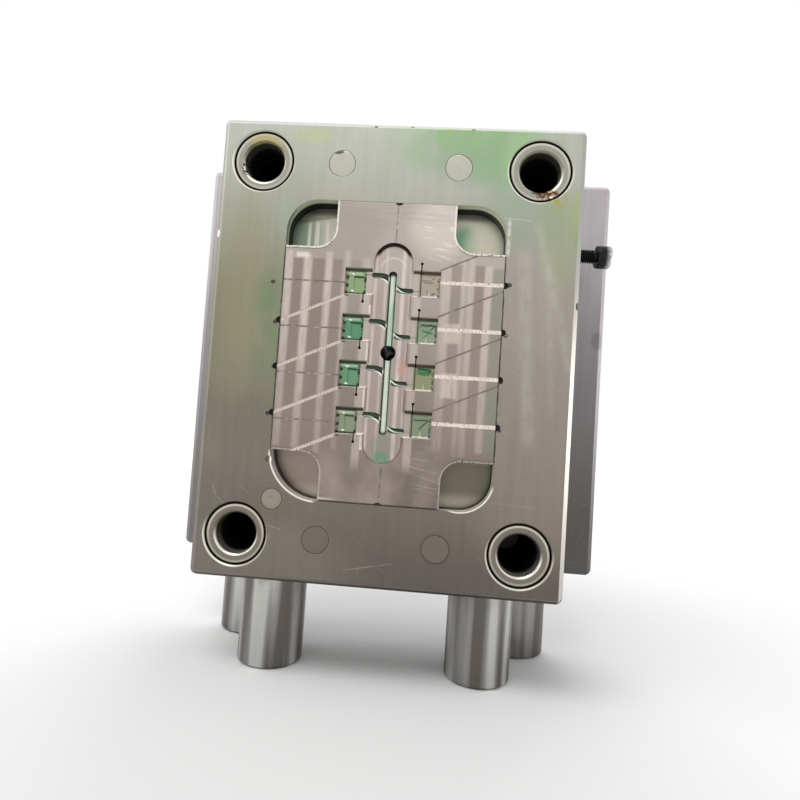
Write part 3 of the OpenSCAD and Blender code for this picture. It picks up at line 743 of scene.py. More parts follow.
    # each branch has painted shade along its upper side and a painted reflection along its lower edge
    row = (f.z - ROW_TOP).math("WRAP", ROW_PITCH / 2, -ROW_PITCH / 2)
    side = f.x.math("SIGN")
    fall = (6.3 - f.wide).most(0)
    bend = 5.5 - (30.25 - (fall * fall).least(28)).math("SQRT")
    above = row + side * (2.95 - bend)
    near = f.wide.band(1.75, 8.7, 0.12) * f.y.ramp(1.2, 1.28)
    f.tint(near * above.ramp(-1.5, -1.2) * above.ramp(1.0, 0.8) * 0.6, paint(150, 176, 156))
    f.tint(branch * above.ramp(-0.45, -0.2) * 0.95, paint(56, 66, 54))
    f.tint(near * above.ramp(-1.15, -0.95) * above.ramp(-0.3, -0.45) * 0.95, paint(242, 244, 236))
    f.tint(branch * above.ramp(-0.95, -1.15) * 0.8, paint(96, 112, 98))
    f.tint(runner * f.wide.ramp(1.35, 1.55) * 0.9, paint(226, 218, 206))
    f.tint(runner * f.wide.band(0.95, 1.45, 0.15) * (ragged.ramp(0.2, 0.6) * 0.3 + 0.65), paint(52, 70, 58))
    f.tint(runner * f.wide.ramp(1.0, 0.7) * f.y.ramp(2.4, 2.65) * 0.9, paint(222, 226, 214))
    middle_of_runner = runner * f.wide.ramp(1.2, 0.8) * abs(f.z - 9).ramp(15, 6)
    f.tint(middle_of_runner * f.y.ramp(2.4, 2.65) * 0.35, paint(116, 164, 140))
    f.tint(runner * f.x.ramp(0.1, 0.6) * ragged.ramp(0.45, 0.6) * f.wide.ramp(1.5, 1.3) * 0.45, paint(78, 134, 106))
    f.tint(runner * f.z.ramp(31.2, 32.4) * 0.9, paint(36, 40, 34))
    f.tint(runner * f.z.ramp(-31.6, -32.8) * 0.8, paint(44, 56, 48))
    # side pockets: a strip of painted shadow above each block, a painted highlight below, film in between
    pocket = f.wide.band(8.4, 19.7, 0.15) * f.y.ramp(0.25, 0.5)
    f.tint(pocket * 0.6, paint(196, 184, 172))
    strip = pocket * row.band(4.3, 6.2, 0.2) * 0.95
    f.tint(strip, f.blend(f.x.ramp(-2, 2), paint(58, 66, 52), paint(74, 62, 50)))
    f.tint(pocket * row.band(-6.2, -5.25, 0.15) * (ragged.ramp(0.1, 0.5) * 0.4 + 0.5), paint(220, 212, 200))
    f.tint(pocket * row.band(-6.2, -5.0, 0.15) * f.wide.ramp(12.5, 11) * 0.8, paint(244, 238, 228))
    between_rows = f.box(-9.0, -7.7, -40, 19, 0.12) * face * (row.ramp(4.6, 5.6) + row.ramp(-5.0, -6.4))
    f.tint(between_rows * 0.75, paint(226, 214, 206))
    pocket_corner = f.x.band(-19.6, -17.6, 0.3) * row.band(-6.4, -5.7, 0.15) * f.tall.ramp(37.5, 37)
    f.tint(pocket_corner * face * 0.7, paint(60, 54, 48))
    # vents and fine lines of the rows
    groove = f.y.band(0.12, 0.3, 0.04) * f.wide.ramp(19.0, 19.6)
    specks = f.noise((0.55, 0.55, 0.55), 2.0, 3.3)
    teeth = ((f.x * 0.91 + f.z * 0.41) * 5.2).math("SINE").ramp(-0.2, 0.5)
    level = abs(row - 1.0).ramp(1.3, 1.1)
    line = abs(row + 0.8).ramp(0.7, 0.5)
    f.tint(groove * left * 0.9, paint(222, 204, 196))
    f.tint(groove * left * teeth * specks.ramp(0.3, 0.6) * 0.55, paint(150, 132, 122))
    dashes = f.noise((3.0, 3.0, 3.0), 2.0, 2.9).ramp(0.35, 0.55)
    f.tint(groove * left * line * 0.75, paint(160, 146, 138))
    f.tint(groove * left * line * dashes * 0.6, paint(92, 84, 74))
    f.tint(groove * right * (1 - level) * (dashes * 0.5 + 0.4), paint(128, 116, 104))
    f.tint(groove * right * level * 0.95, paint(236, 224, 214))
    f.tint(groove * right * level * specks.ramp(0.52, 0.64) * 0.7, paint(168, 150, 140))
    f.tint(groove * specks.ramp(0.66, 0.74) * 0.8, paints.grime)
    # scribed centre line and its nicks, dark gap along the sides of the block
    scribed = abs(f.x - 0.4).ramp(0.45, 0.1) * f.tall.ramp(44, 46) * face
    f.tint(scribed * f.noise((1, 1, 2.2), 1.0, 5.0).ramp(0.35, 0.55) * 0.45, paints.grime)
    f.tint_all((f.spot(x, z, 1.5, 0.8, 0.4) for x, z in ((0.8, 61.2), (0, -61.2))), paints.grime)
    gap = f.wide.ramp(44.55, 44.85) * f.y.ramp(0.6, 0.1) * ragged.ramp(0.3, 0.5) * f.tall.ramp(43, 41)
    f.tint(gap * 0.85, paint(56, 52, 46))
    f.tint(f.z.ramp(-60.7, -61.1) * f.y.ramp(0.6, 0.1) * (ragged.ramp(0.2, 0.5) * 0.4 + 0.5), paint(64, 52, 46))
    # a painted highlight along the foot of the insert on the left
    f.tint(f.z.band(-60.7, -59.9, 0.3) * f.x.ramp(-14, -24) * face * 0.6, paint(222, 214, 202))
    # corner notches: painted highlights on the rims, film and painted shade on the floors above, plain ones below
    corner = f.wide.ramp(24.0, 24.6) * f.tall.ramp(41.6, 42.1)
    low = f.y.ramp(8.8, 9.3) * corner
    wall = f.y.band(0.4, 8.8, 0.2) * corner
    f.tint(low * 0.75, f.blend(f.z.ramp(-5, 5), paint(200, 188, 176), paint(204, 202, 186)))
    f.tint(low * f.spot(-45, 47, 12, 15, 0.8) * 0.75, paint(104, 134, 108))
    bands = ((-38.5, -37.2), (-35.4, -33.6), (-30.8, -29.6))
    f.tint_all(
        (low * f.x.band(x0, x1, 0.4) * f.z.band(42, 55.5, 1.5) * rough * 0.8 for x0, x1 in bands),
        paint(226, 218, 206),
    )
    f.tint(low * f.x.ramp(0, -1) * (f.z - f.x * 0.19).ramp(62.3, 62.9) * 0.55, paint(112, 104, 88))
    f.tint(low * f.z.ramp(57.5, 60) * 0.6, paint(48, 52, 42))
    f.tint(low * f.spot(28, 47, 6, 9, 0.7) * 0.8, paint(84, 146, 110))
    f.tint(low * f.spot(37, 48, 8, 9, 0.8) * 0.7, paint(206, 204, 182))
    near_end = f.z.ramp(-60, -54) * 0.7 + 0.3
    f.tint(low * f.x.ramp(12, 20) * f.z.ramp(-40, -44) * near_end * 0.85, paint(92, 92, 74))
    f.tint(low * f.arc(-34, -52, 4.6, 0.6, 0.4) * 0.4, paint(176, 156, 150))
    f.tint(low * f.x.ramp(-12, -20) * f.z.ramp(-40, -44) * near_end * 0.75, paint(132, 116, 108))
    f.tint(wall * f.z.ramp(0, 10) * 0.5, paint(92, 100, 84))
    f.tint(wall * f.z.ramp(0, -10) * 0.6, paint(70, 62, 56))
    across, up = (32.5 - f.wide).most(0), (50 - f.tall).most(0)
    rim = (across * across + up * up).math("SQRT") - 8
    lip = rim.band(-0.3, 0.75, 0.15) * f.wide.ramp(22, 23) * f.tall.ramp(40, 41) * f.y.ramp(1.3, 0.9)
    f.tint(lip * (specks.ramp(0.66, 0.56) * 0.6 + 0.3) * (f.z.ramp(-5, 5) * 0.6 + 0.25), paint(242, 238, 228))
    f.tint(lip * specks.ramp(0.58, 0.64) * f.wide.ramp(24, 27), paint(56, 58, 48))
    outer_line = rim.band(0.7, 1.1, 0.15) * f.wide.ramp(24.5, 26) * f.tall.ramp(39.5, 40.5) * face
    f.tint(outer_line * 0.6, paint(96, 92, 82))
    # steel that the pocket hides
    f.tint(f.y.ramp(12, 20) * 0.6, paint(120, 112, 106))
    return f.done()


def block_finish(paints):
    """Wire-cut cavity blocks under green film, each row in its own strength, with the cutter's strokes, a band of
    painted shadow across the top of each row and a painted highlight under each right block.
    """
    f = Finish("block_steel", paint(158, 150, 138), 0.36)
    speck = f.noise((0.8, 0.8, 0.8), 3.0, 2.0)
    streak = f.noise((1.6, 1.6, 4.0), 2.0, 5.5)
    f.shade(speck * 0.3 + streak * 0.3 + 0.7)
    left, right = f.x.ramp(0.5, -0.5), f.x.ramp(-0.5, 0.5)
    # the film of each row: colour and strength on the left and on the right
    films = (
        (paint(140, 168, 120), 0.85, paint(178, 166, 150), 0.7),
        (paint(84, 144, 106), 0.9, paint(138, 158, 128), 0.75),
        (paint(98, 148, 112), 0.9, paint(142, 146, 108), 0.85),
        (paint(128, 146, 118), 0.8, paint(124, 142, 114), 0.8),
    )
    for z, (left_colour, left_amount, right_colour, right_amount) in zip(ROW_LEVELS, films):
        here = f.z.band(z - 7, z + 7, 0.5)
        f.tint(here * left * left_amount, left_colour)
        f.tint(here * right * right_amount, right_colour)
        # the edge of the shape, drawn by the wire and its start, and a band of painted shadow across the top of the row
        f.marks(
            f.box,
            None,
            ((-20, -18.3, z - 7, z + 7, 0.3), 0.6, paint(150, 146, 132)),
            ((-20, 20, z + 4.0, z + 7, 0.15), 0.9, paint(60, 66, 52)),
            ((-18.2, -12.0, z + 3.0, z + 3.9, 0.25), 0.6, paint(204, 216, 192), streak, 0.3, 0.5),
        )
        f.tint(f.line(-16.0, z + 2.1, -11.8, z + 2.0, 0.7, 0.15) * 0.9, paint(38, 66, 46))
        f.tint(f.box(-18.2, -11.4, z - 5.1, z - 4.4, 0.15) * 0.85, paint(34, 58, 38))
        for x, low, high in (
            (-18.4, 1.4, 2.4),
            (-18.5, -2.0, -1.0),
            (-18.6, -5.2, -4.3),
            (-11.4, -4.9, -3.6),
            (-11.2, 0.0, 2.0),
        ):
            f.tint(f.box(x - 0.6, x + 0.5, z + low, z + high, 0.25), paint(34, 44, 32))
        f.marks(
            f.box,
            None,
            ((-18.9, -18.1, z - 4.4, z + 2.4, 0.2), 0.9, paint(44, 52, 38), speck, 0.48, 0.56),
            ((-11.4, -10.9, z - 5.2, z + 3.8, 0.15), 0.8, paint(52, 60, 46), speck, 0.4, 0.5),
        )
        start_holes = (f.spot(-16.2, z + 3.1, 0.55, 0.45, 0.4), f.spot(-16.2, z - 3.9, 0.6, 0.4, 0.4))
        f.tint_all(start_holes, paint(240, 244, 228))
        # the slit of the right block, and a painted highlight along its foot
        f.marks(
            f.box,
            None,
            ((11.25, 11.75, z - 5.2, z + 4.4, 0.15), 0.85, paint(62, 56, 44)),
            ((11.9, 19.4, z - 5.4, z - 4.5, 0.2), 0.9, paint(236, 230, 212), streak, 0.25, 0.45),
        )
        f.tint(f.line(15.0, z - 4.6, 15.2, z - 2.8, 0.35, 0.12) * 0.6, paint(224, 224, 204))
        f.marks(f.box, None, ((18.2, 19.3, z - 4.6, z + 2.4, 0.3), 0.8, paint(62, 60, 46), speck, 0.5, 0.56))

    def strokes(*rows):
        """The cutter's strokes: row, its two ends, width, softness, strength and colour."""
        for row, x0, z0, x1, z1, width, soft, amount, colour in rows:
            z = ROW_LEVELS[row - 1]
            f.tint(f.line(x0, z + z0, x1, z + z1, width, soft) * amount, paint(*colour))

    strokes(
        (1, 12.6, 1.2, 17.0, 1.0, 0.3, 0.12, 0.85, (66, 58, 50)),
        (1, 17.4, -3.2, 16.0, -4.0, 0.5, 0.15, 0.9, (58, 60, 46)),
        (1, 14.0, -1.8, 14.4, -3.6, 0.3, 0.12, 0.8, (74, 64, 54)),
        (2, 12.4, 2.6, 18.6, 2.4, 0.8, 0.2, 0.9, (38, 62, 46)),
        (2, 18.4, 2.4, 16.4, 0.4, 0.5, 0.15, 0.9, (40, 70, 50)),
        (2, 13.2, 0.4, 17.6, -0.8, 0.9, 0.3, 0.85, (46, 112, 78)),
        (2, 16.0, -0.8, 13.6, -2.6, 0.5, 0.2, 0.8, (58, 116, 84)),
    )
    f.tint(f.spot(15.2, ROW_LEVELS[2] + 2.6, 3.2, 1.5, 0.4) * 0.85, paint(58, 124, 88))
    strokes(
        (3, 12.4, 3.8, 17.8, 3.4, 0.5, 0.15, 0.9, (34, 50, 36)),
        (3, 17.8, 3.4, 16.6, 1.0, 0.4, 0.15, 0.85, (40, 60, 42)),
        (4, 12.4, 2.0, 18.2, 2.0, 0.5, 0.15, 0.85, (44, 58, 44)),
        (4, 18.0, 2.0, 14.4, -1.6, 0.5, 0.15, 0.85, (44, 58, 44)),
    )
    f.roughen(speck.ramp(0.4, 0.7), 0.2)
    f.lift(speck * 0.02)
    f.tint(f.y.ramp(3.4, 4.4) * 0.8, paints.grime)
    return f.done()


def clamp_plate_finish(paints):
    """Clamp plate: purple grey, darker low down."""
    f = Finish("clamp_steel", paints.clamp, 0.42)
    f.colour = f.blend(f.z.ramp(-90, 90), paint(92, 90, 88), paint(158, 152, 155))
    f.tint(f.z.ramp(15, 85) * 0.5, paint(196, 190, 194))
    f.tint(f.x.ramp(-70, -90) * 0.16, paint(210, 204, 200))
    ground_marks(f)
    f.tint(f.spot(97, 18, 3, 4, 0.4) * f.y.ramp(52, 51) * 0.35, paint(84, 76, 76))
    scratches(f, f.y.ramp(60, 50) + f.y.ramp(74, 74.8), 0.25)
    back = f.y.ramp(74.6, 74.9)
    f.tint(back * f.arc(0, 0, 58, 3, 4) * 0.2, paint(84, 80, 76))
    return f.done()


def turned_finish(name, colour, roughness, centre, pitch=0.3, depth=0.004, metallic=0.85):
    """Turned or bored steel, with rings round an axis along Y through centre, (x, z)."""
    f = Finish(name, colour, roughness, metallic)
    r = f.radius(*centre)
    rings = (r * (2 * math.pi / pitch)).math("SINE")
    wobble = f.noise((1.5, 1.5, 1.5), 2.0, 5.0)
    f.shade(rings * 0.05 + wobble * 0.16 + 0.9)
    f.lift(rings * depth)
    return f


def bush_finish(paints, corner):
    """Guide bush: bright ground face, painted highlights and shade round its edges and on the lip, and painted shade in
    the bore.
    """
    x, z = on_face("guide_bush_" + corner)
    f = turned_finish("bush_steel_" + corner, paints.bush, 0.3, (x, z), 0.45)
    r = f.radius(x, z)
    lip = r.ramp(9.3, 8.9)
    lower = f.z.ramp(z + 3, z - 4)
    f.tint(f.z.ramp(60, -60) * 0.8, paint(112, 104, 94))
    # a painted highlight in a ring near the outer edge of the face, stronger at the top
    f.tint(r.band(10.9, 11.7, 0.15) * (f.z.ramp(z - 5, z + 5) * 0.3 + 0.3), paint(226, 224, 210))
    # painted shade on the upper half of the lip, a painted highlight on the lower half
    f.tint(lip * (1 - lower) * 0.6, paint(96, 92, 80))
    f.tint(lip * lower * 0.85, paint(246, 242, 232))
    # painted shade round the outer edge, where the bush meets the plate, and in the bore
    f.tint(r.ramp(11.75, 11.95) * f.y.ramp(20, 10), paint(62, 58, 40))
    f.tint(r.ramp(8.8, 8.2) * 0.5, paint(110, 102, 90))
    f.tint(f.y.ramp(1.6, 7.5) * r.ramp(9, 8.6) * 0.98, paint(10, 9, 8))
    f.tint(f.y.ramp(8, 12) * 0.97, paint(14, 12, 10))
    f.roughen(f.y.ramp(1.9, 6), 0.8)
    if corner == "tr":
        patches = f.noise((1.4, 1.4, 1.4), 3.0, 2.0)
        near = f.spot(60.2, 67.4, 4.4, 2.6, 0.5)
        f.tint(near * patches.ramp(0.4, 0.5) * 0.95, paint(112, 74, 34))
        f.tint(near * patches.ramp(0.56, 0.66), paint(70, 40, 24))
        f.tint(f.spot(61.6, 66.6, 0.8, 0.5, 0.4), paint(236, 226, 204))
        f.tint(f.spot(57.5, 68.2, 4, 0.8, 0.5) * 0.8, paint(66, 40, 30))
    if corner == "tl":
        flecks = f.noise((0.9, 0.9, 0.9), 3.0, 6.0)
        f.tint(f.spot(-64.6, 74.5, 1.6, 4.2, 0.5) * flecks.ramp(0.5, 0.56), paints.grime)
        mouth = f.y.ramp(2.2, 1.6)
        f.tint(f.spot(-56, 86.2, 8, 3.0, 0.6) * mouth * r.ramp(11.7, 11.5) * 0.6, paint(190, 178, 122))
        f.tint(lip * f.z.ramp(80, 83) * mouth * 0.7, paint(88, 78, 34))
    return f.done()


def leg_finish(paints):
    """Turned and polished legs with a painted reflection in light and dark streaks up and down them, and painted shade
    in clouds just under the plate.
    """
    f = Finish("leg_steel", paints.leg, 0.26, 0.95)
    f.shader.inputs["Anisotropic"].default_value = 0.85
    tangent = f.node("Tangent", direction_type="RADIAL", axis="Z")
    f.plug(f.shader.inputs["Tangent"], tangent.outputs[0])
    streaks = f.noise((0.9, 0.9, 60.0), 2.0)
    bands = f.noise((6.5, 6.5, 160.0), 1.0, 8.4)
    rings = f.noise((30.0, 30.0, 0.25), 2.0, 4.0)
    clouds = f.noise((6.0, 6.0, 9.0), 3.0, 6.6)
    # painted reflection: light and dark streaks up and down the legs
    f.tint(bands.ramp(0.5, 0.68) * 0.6, paint(230, 230, 224))
    f.tint(bands.ramp(0.52, 0.38) * 0.75, paint(92, 84, 76))
    f.shade(streaks * 0.14 + rings * 0.1 + 0.8)
    # painted shade in clouds on the legs just under the plate
    f.tint(f.z.ramp(-106, -94) * clouds.ramp(0.3, 0.7) * 0.6, paint(92, 84, 78))
    f.roughen(clouds * 0.7, 0.34)
    f.lift(rings * 0.003)
    return f.done()


def black_finish(paints):
    """Black oxide on cap screws, rubbed bright in patches."""
    f = Finish("black_screw", paints.black, 0.38, 0.75)
    wear = f.noise((1.3, 1.3, 1.3), 3.0, 3.0)
    f.tint(wear.ramp(0.58, 0.72) * 0.35, paint(96, 94, 92))
    f.roughen(wear, 0.5)
    f.lift(wear * 0.01)
    return f.done()


def side_screw_finish(paints):
    """Black cap screw with a rubbed, silvery end."""
    f = Finish("side_screw_black", paints.black, 0.34, 0.75)
    wear = f.noise((1.1, 1.1, 1.1), 3.0, 3.0)
    f.tint(f.x.ramp(90.2, 93.2) * (wear.ramp(0.3, 0.6) * 0.4 + 0.5), paint(232, 233, 230))
    f.tint(wear.ramp(0.62, 0.72) * 0.2, paint(96, 94, 90))
    return f.done()


# Pieces


class MouldOperator(bpy.types.Operator):
    bl_options = {"REGISTER", "UNDO"}

    def execute(self, context):
        self.build(context.scene.mould_paints, context.scene.mould_sizes)
        return {"FINISHED"}


class MOULD_OT_front_plate(MouldOperator):
    """Ease the edges of the cavity plate and grind its face"""

    bl_idname = "mould.front_plate"
    bl_label = "Cavity plate"

    def build(self, paints, sizes):
        plate = eased_copy("cavity_plate", sizes.edge)
        dress(plate, front_plate_finish(paints), "cavity_plate")


class MOULD_OT_clamp_plate(MouldOperator):
    """Ease the edges of the clamp plate"""

    bl_idname = "mould.clamp_plate"
    bl_label = "Clamp plate"

    def build(self, paints, sizes):
        plate = eased_copy("clamp_plate", sizes.edge)
        dress(plate, clamp_plate_finish(paints), "clamp_plate")


class MOULD_OT_insert(MouldOperator):
    """Ease the long edges of the insert and give it its milled face"""

    bl_idname = "mould.insert"
    bl_label = "Cavity insert"

    def build(self, paints, sizes):
        low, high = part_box("cavity_insert")
        half = (high - low) / 2 / MM
        notch_wide, notch_tall = 20.7, 19.7

        def outline(*ends):
            """Front edges along the outside of the block and its notches, not those of the pockets and vents."""
            for end in ends:
                x, z = abs(end.x) / MM, abs(end.z - MID_Z) / MM
                side = x > half.x - CLOSE or z > half.z - CLOSE
                notch = x > half.x - notch_wide and z > half.z - notch_tall
                if end.y > FACE_Y + CLOSE * MM or not (side or notch):
                    return False
            return True

        insert = eased_copy("cavity_insert", sizes.fine_edge * 2, outline, join_flats=False)
        dress(insert, insert_finish(paints), "cavity_insert")
        finish = block_finish(paints)
        for side in SIDES:
            for row in ROWS:
                node = f"cavity_block_{side}{row}"
                dress(eased_copy(node, sizes.fine_edge), finish, node)


class MOULD_OT_bushes(MouldOperator):
    """Turn the four guide bushes, with an oil groove in each bore"""

    bl_idname = "mould.bushes"
    bl_label = "Guide bushes"

    def build(self, paints, sizes):
        for corner in CORNERS:
            node = "guide_bush_" + corner
            low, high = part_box(node)
            length = (high.y - low.y) / MM
            head = (high.x - low.x) / 2 / MM
            body, bore, collar, mouth = head - 2.5, head - 7.0, 6.0, 2.0
            arc = [
                (bore + mouth * (1 - math.sin(a)), mouth * (1 - math.cos(a)))
                for a in (math.radians(d) for d in range(0, 91, 15))
            ]
            profile = list(arc)
            for depth in (14.0, 27.0, 40.0):
                groove = ((0.0, -1.2), (0.5, -0.6), (0.5, 0.6), (0.0, 1.2))
                profile += [(bore + out, depth + along) for out, along in groove]
            profile += [(bore, length), (head - 0.5, length), (head, length - 0.5), (head, length - collar + 0.3)]
            profile += [(head - 0.3, length - collar), (body, length - collar)]
            profile += [(body, 0.8), (body - 0.2, 0.5), (body - 0.7, 0.0), arc[0]]
            bush = turned(node + "_dressed", profile, sizes.steps)
            place(bush, (middle(node).x, low.y, middle(node).z), (math.radians(-90), 0, 0))
            smooth(bush)
            dress(bush, bush_finish(paints, corner), node)


class MOULD_OT_pads(MouldOperator):
    """Turn the rest pads and the index pin"""

    bl_idname = "mould.pads"
    bl_label = "Rest pads and index pin"

    def build(self, paints, sizes):
        for node in ["rest_pad_" + corner for corner in CORNERS] + ["index_pin"]:
            low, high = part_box(node)
            at = middle(node)
            r, length = (high.x - low.x) / 2 / MM, (high.y - low.y) / MM
            if node == "index_pin":
                face = [(0.25, 0.3), (0.5, 0.12), (1.0, 0.02), (2.0, 0.0)]
            else:
                face = [(r * 0.5, 0.0)]
            profile = face + [(r - 0.4, 0.0), (r - 0.15, 0.1), (r, 0.4), (r, length - 0.5), (r - 0.5, length)]
            piece = turned(node + "_dressed", profile, sizes.steps)
            place(piece, (at.x, low.y, at.z), (math.radians(-90), 0, 0))
            smooth(piece)
            x, z = on_face(node)
            f = turned_finish("pin_steel_" + node, paints.pad, 0.34, (x, z), 0.5, 0.003)
            f.tint(f.z.ramp(60, -60) * 0.75, paint(128, 122, 110))
            radius = f.radius(x, z)
            f.tint(radius.ramp(r - 0.2, r) * 0.3, paints.grime)
            if node == "rest_pad_tl":
                f.tint(f.spot(x - 2.2, z + 4.9, 2.6, 1.0, 0.4) * 0.8, paints.grime)
            if node in ("rest_pad_bl", "rest_pad_br"):
                f.tint(f.y.ramp(0.2, 0.0) * 0.8, paint(104, 98, 91))
            dress(piece, f.done(), node)


class MOULD_OT_legs(MouldOperator):
    """Turn the four support legs"""

    bl_idname = "mould.legs"
    bl_label = "Support legs"

    def build(self, paints, sizes):
        finish = leg_finish(paints)
        for leg in LEGS:
            node = "leg_" + leg
            low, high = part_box(node)
            at = middle(node)
            r, length = (high.x - low.x) / 2 / MM, (high.z - low.z) / MM
            # the stud's hole and the upper edge, the side, and the foot with the dimple of the lathe's centre
            profile = [(3.05, length - 14), (3.05, length - 0.6), (3.6, length), (r - 0.5, length)]
            profile += [(r - 0.12, length - 0.12), (r, length - 0.5), (r, 1.4), (r - 0.12, 1.0), (r - 1.1, 0.1)]
            profile += [(r - 1.4, 0.0), (4.2, 0.0), (3.9, 0.3), (2.4, 1.6), (0.3, 2.6)]
            piece = turned(node + "_dressed", profile, sizes.steps)
            place(piece, (at.x, at.y, low.z))
            smooth(piece)
            dress(piece, finish, node)
        for leg in LEGS:
            dress_node("leg_stud_" + leg, black_finish(paints))


class MOULD_OT_back_fittings(MouldOperator):
    """Dress the sprue bush and the locating ring"""

    bl_idname = "mould.back_fittings"
    bl_label = "Locating ring and sprue bush"

    def build(self, paints, sizes):
        ring = eased_copy("locating_ring", sizes.edge)
        f = turned_finish("ring_steel", paint(140, 136, 130), 0.32, (0, 0), 0.6, 0.006)
        dress(ring, f.done(), "locating_ring")
        bush = eased_copy("sprue_bush", sizes.edge)
        f = turned_finish("sprue_steel", paint(132, 130, 124), 0.3, (0, 0), 0.4)
        # painted shade: the bore of the sprue bush is nearly black
        f.tint(f.radius(0, 0).ramp(4.6, 3.6) * f.y.ramp(60, 30), paint(6, 9, 6))
        f.roughen(f.y.ramp(60, 30), 0.9)
        dress(bush, f.done(), "sprue_bush")


def thread_ridge(name, wall, tip, pitch, length):
    """A screw thread along Z from 0: a ridge with its base at radius wall and its tip at radius tip, in millimetres."""
    half = pitch * 0.44
    bpy.ops.object.select_all(action="DESELECT")
    bpy.ops.mesh.primitive_circle_add(vertices=4, radius=half * MM, location=(wall * MM, 0, half * MM))
    ridge = bpy.context.object
    ridge.name = name
    bpy.ops.object.transform_apply(location=True, rotation=True, scale=True)
    with editing(ridge):
        bpy.ops.mesh.select_all(action="SELECT")
        bpy.ops.transform.rotate(value=math.radians(90), orient_axis="X", center_override=(wall * MM, 0, half * MM))
    # the four corners become the root, the tip and its two shoulders
    sign = 1 if tip > wall else -1
    flat = pitch * 0.07
    corners = [
        (wall - sign * 0.05, half * 2),
        (tip, half + flat),
        (tip, half - flat),
        (wall - sign * 0.05, 0),
    ]
    for vertex, (radius, height) in zip(ridge.data.vertices, corners):
        vertex.co = (radius * MM, 0, height * MM)
    turns = int(length / pitch - 1)
    apply_modifier(
        ridge, "SCREW", axis="Z", angle=math.tau, screw_offset=pitch * MM, iterations=turns, steps=28, render_steps=28
    )
    close_up(ridge)
    return ridge


def cap_screw(name, thread, length, sizes, pitch=None):
    """A socket head cap screw along Z, its head below 0 and its shank up to length, in millimetres."""
    extra = 3.5 if thread < 6 else 4 if thread < 8 else 5 if thread < 10 else 6
    r, c = (thread + extra) / 2, thread * 0.08
    knurl = r * 0.022
    bpy.ops.object.select_all(action="DESELECT")
    bpy.ops.mesh.primitive_circle_add(vertices=sizes.knurls * 2, radius=r * MM, location=(0, 0, (c - thread) * MM))
    screw = bpy.context.object
    screw.name = name
    bpy.ops.object.transform_apply(location=True, rotation=True, scale=True)

    def rim(radius_ratio, height):
        bpy.ops.mesh.extrude_region_move(TRANSFORM_OT_translate={"value": (0, 0, height * MM)})
        bpy.ops.transform.resize(value=(radius_ratio, radius_ratio, 1), center_override=(0, 0, 0))

    with editing(screw):
        # knurled side, then the round collar under the head, the shank and its point
        choose(screw, "VERT", lambda co, v: v.index % 2 == 0)
        dip = (r - knurl) / r
        bpy.ops.transform.resize(value=(dip, dip, 1), center_override=(0, 0, 0))
        bpy.ops.mesh.select_all(action="SELECT")
        rim(1.0, thread - c - thread * 0.18)
        rim((r - knurl * 1.4) / r, thread * 0.05)
        rim(1.0, thread * 0.13)
    with editing(screw):
        # round the rim off to an even circle for the underside
        rims = max(v.co.z for v in screw.data.vertices)
        choose(screw, "VERT", lambda co, v: co.z > rims - WELD)
        shank = thread / 2 - (0.0 if pitch is None else pitch * 0.6)
        ratio = shank / r
        bpy.ops.mesh.extrude_region_move(TRANSFORM_OT_translate={"value": (0, 0, 0)})
        bpy.ops.transform.resize(value=(ratio, ratio, 1), center_override=(0, 0, 0))
        rim(1.0, length - thread * 0.1)
        rim(0.82, thread * 0.1)
    with editing(screw):
        foot = min(v.co.z for v in screw.data.vertices)
        choose(screw, "VERT", lambda co, v: co.z < foot + WELD)
        bpy.ops.mesh.extrude_region_move(TRANSFORM_OT_translate={"value": (0, 0, -c * MM)})
        bpy.ops.transform.resize(value=((r - c) / r,) * 2 + (1,), center_override=(0, 0, 0))
    close_up(screw)
    socket_size = thread * 0.95 / 2
    bpy.ops.mesh.primitive_cone_add(
        vertices=6,
        radius1=socket_size * MM,
        radius2=socket_size * MM,
        depth=thread * 1.1 * MM,
        location=(0, 0, -thread * MM),
    )
    socket = bpy.context.object
    apply_modifier(screw, "BOOLEAN", operation="DIFFERENCE", object=socket, solver="EXACT")
    bpy.data.objects.remove(socket)
    if pitch:
        ridge = thread_ridge(name + "_thread", shank, thread / 2, pitch, length - 0.6)
        place(ridge, (0, 0, 0.5 * MM))
        pick(screw, ridge)
        bpy.ops.object.join()
    sharp = math.radians(40)
    apply_modifier(screw, "BEVEL", width=sizes.fine_edge, segments=2, limit_method="ANGLE", angle_limit=sharp)
    smooth(screw, 34)
    return screw


class MOULD_OT_screws(MouldOperator):
    """Make the socket head cap screws: the loose one at the side, and those of the clamp plate and the ring"""

    bl_idname = "mould.screws"
    bl_label = "Cap screws"

    def build(self, paints, sizes):
        low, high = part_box("side_screw")
        at = middle("side_screw")
        head = 6.0
        length = (high.x - low.x) / MM - head
        screw = cap_screw("side_screw_dressed", 6.0, length, sizes, sizes.side_pitch / MM)
        place(screw, (high.x - head * MM, at.y, at.z), (0, math.radians(-90), 0))
        dress(screw, side_screw_finish(paints), "side_screw")
        black = black_finish(paints)
        for kind, thread in (("clamp_screw_", 10.0), ("ring_screw_", 5.0)):
            low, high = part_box(kind + "tl")
            model = cap_screw(kind + "model", thread, (high.y - low.y) / MM - thread, sizes)
            for corner in CORNERS:
                node = kind + corner
                low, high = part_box(node)
                at = middle(node)
                screw = twin(model, node + "_dressed")
                place(screw, (at.x, high.y - thread * MM, at.z), (math.radians(90), 0, 0))
                dress(screw, black, node)
            bpy.data.objects.remove(model)
        for corner in CORNERS:
            dress_node("insert_screw_" + corner, black)


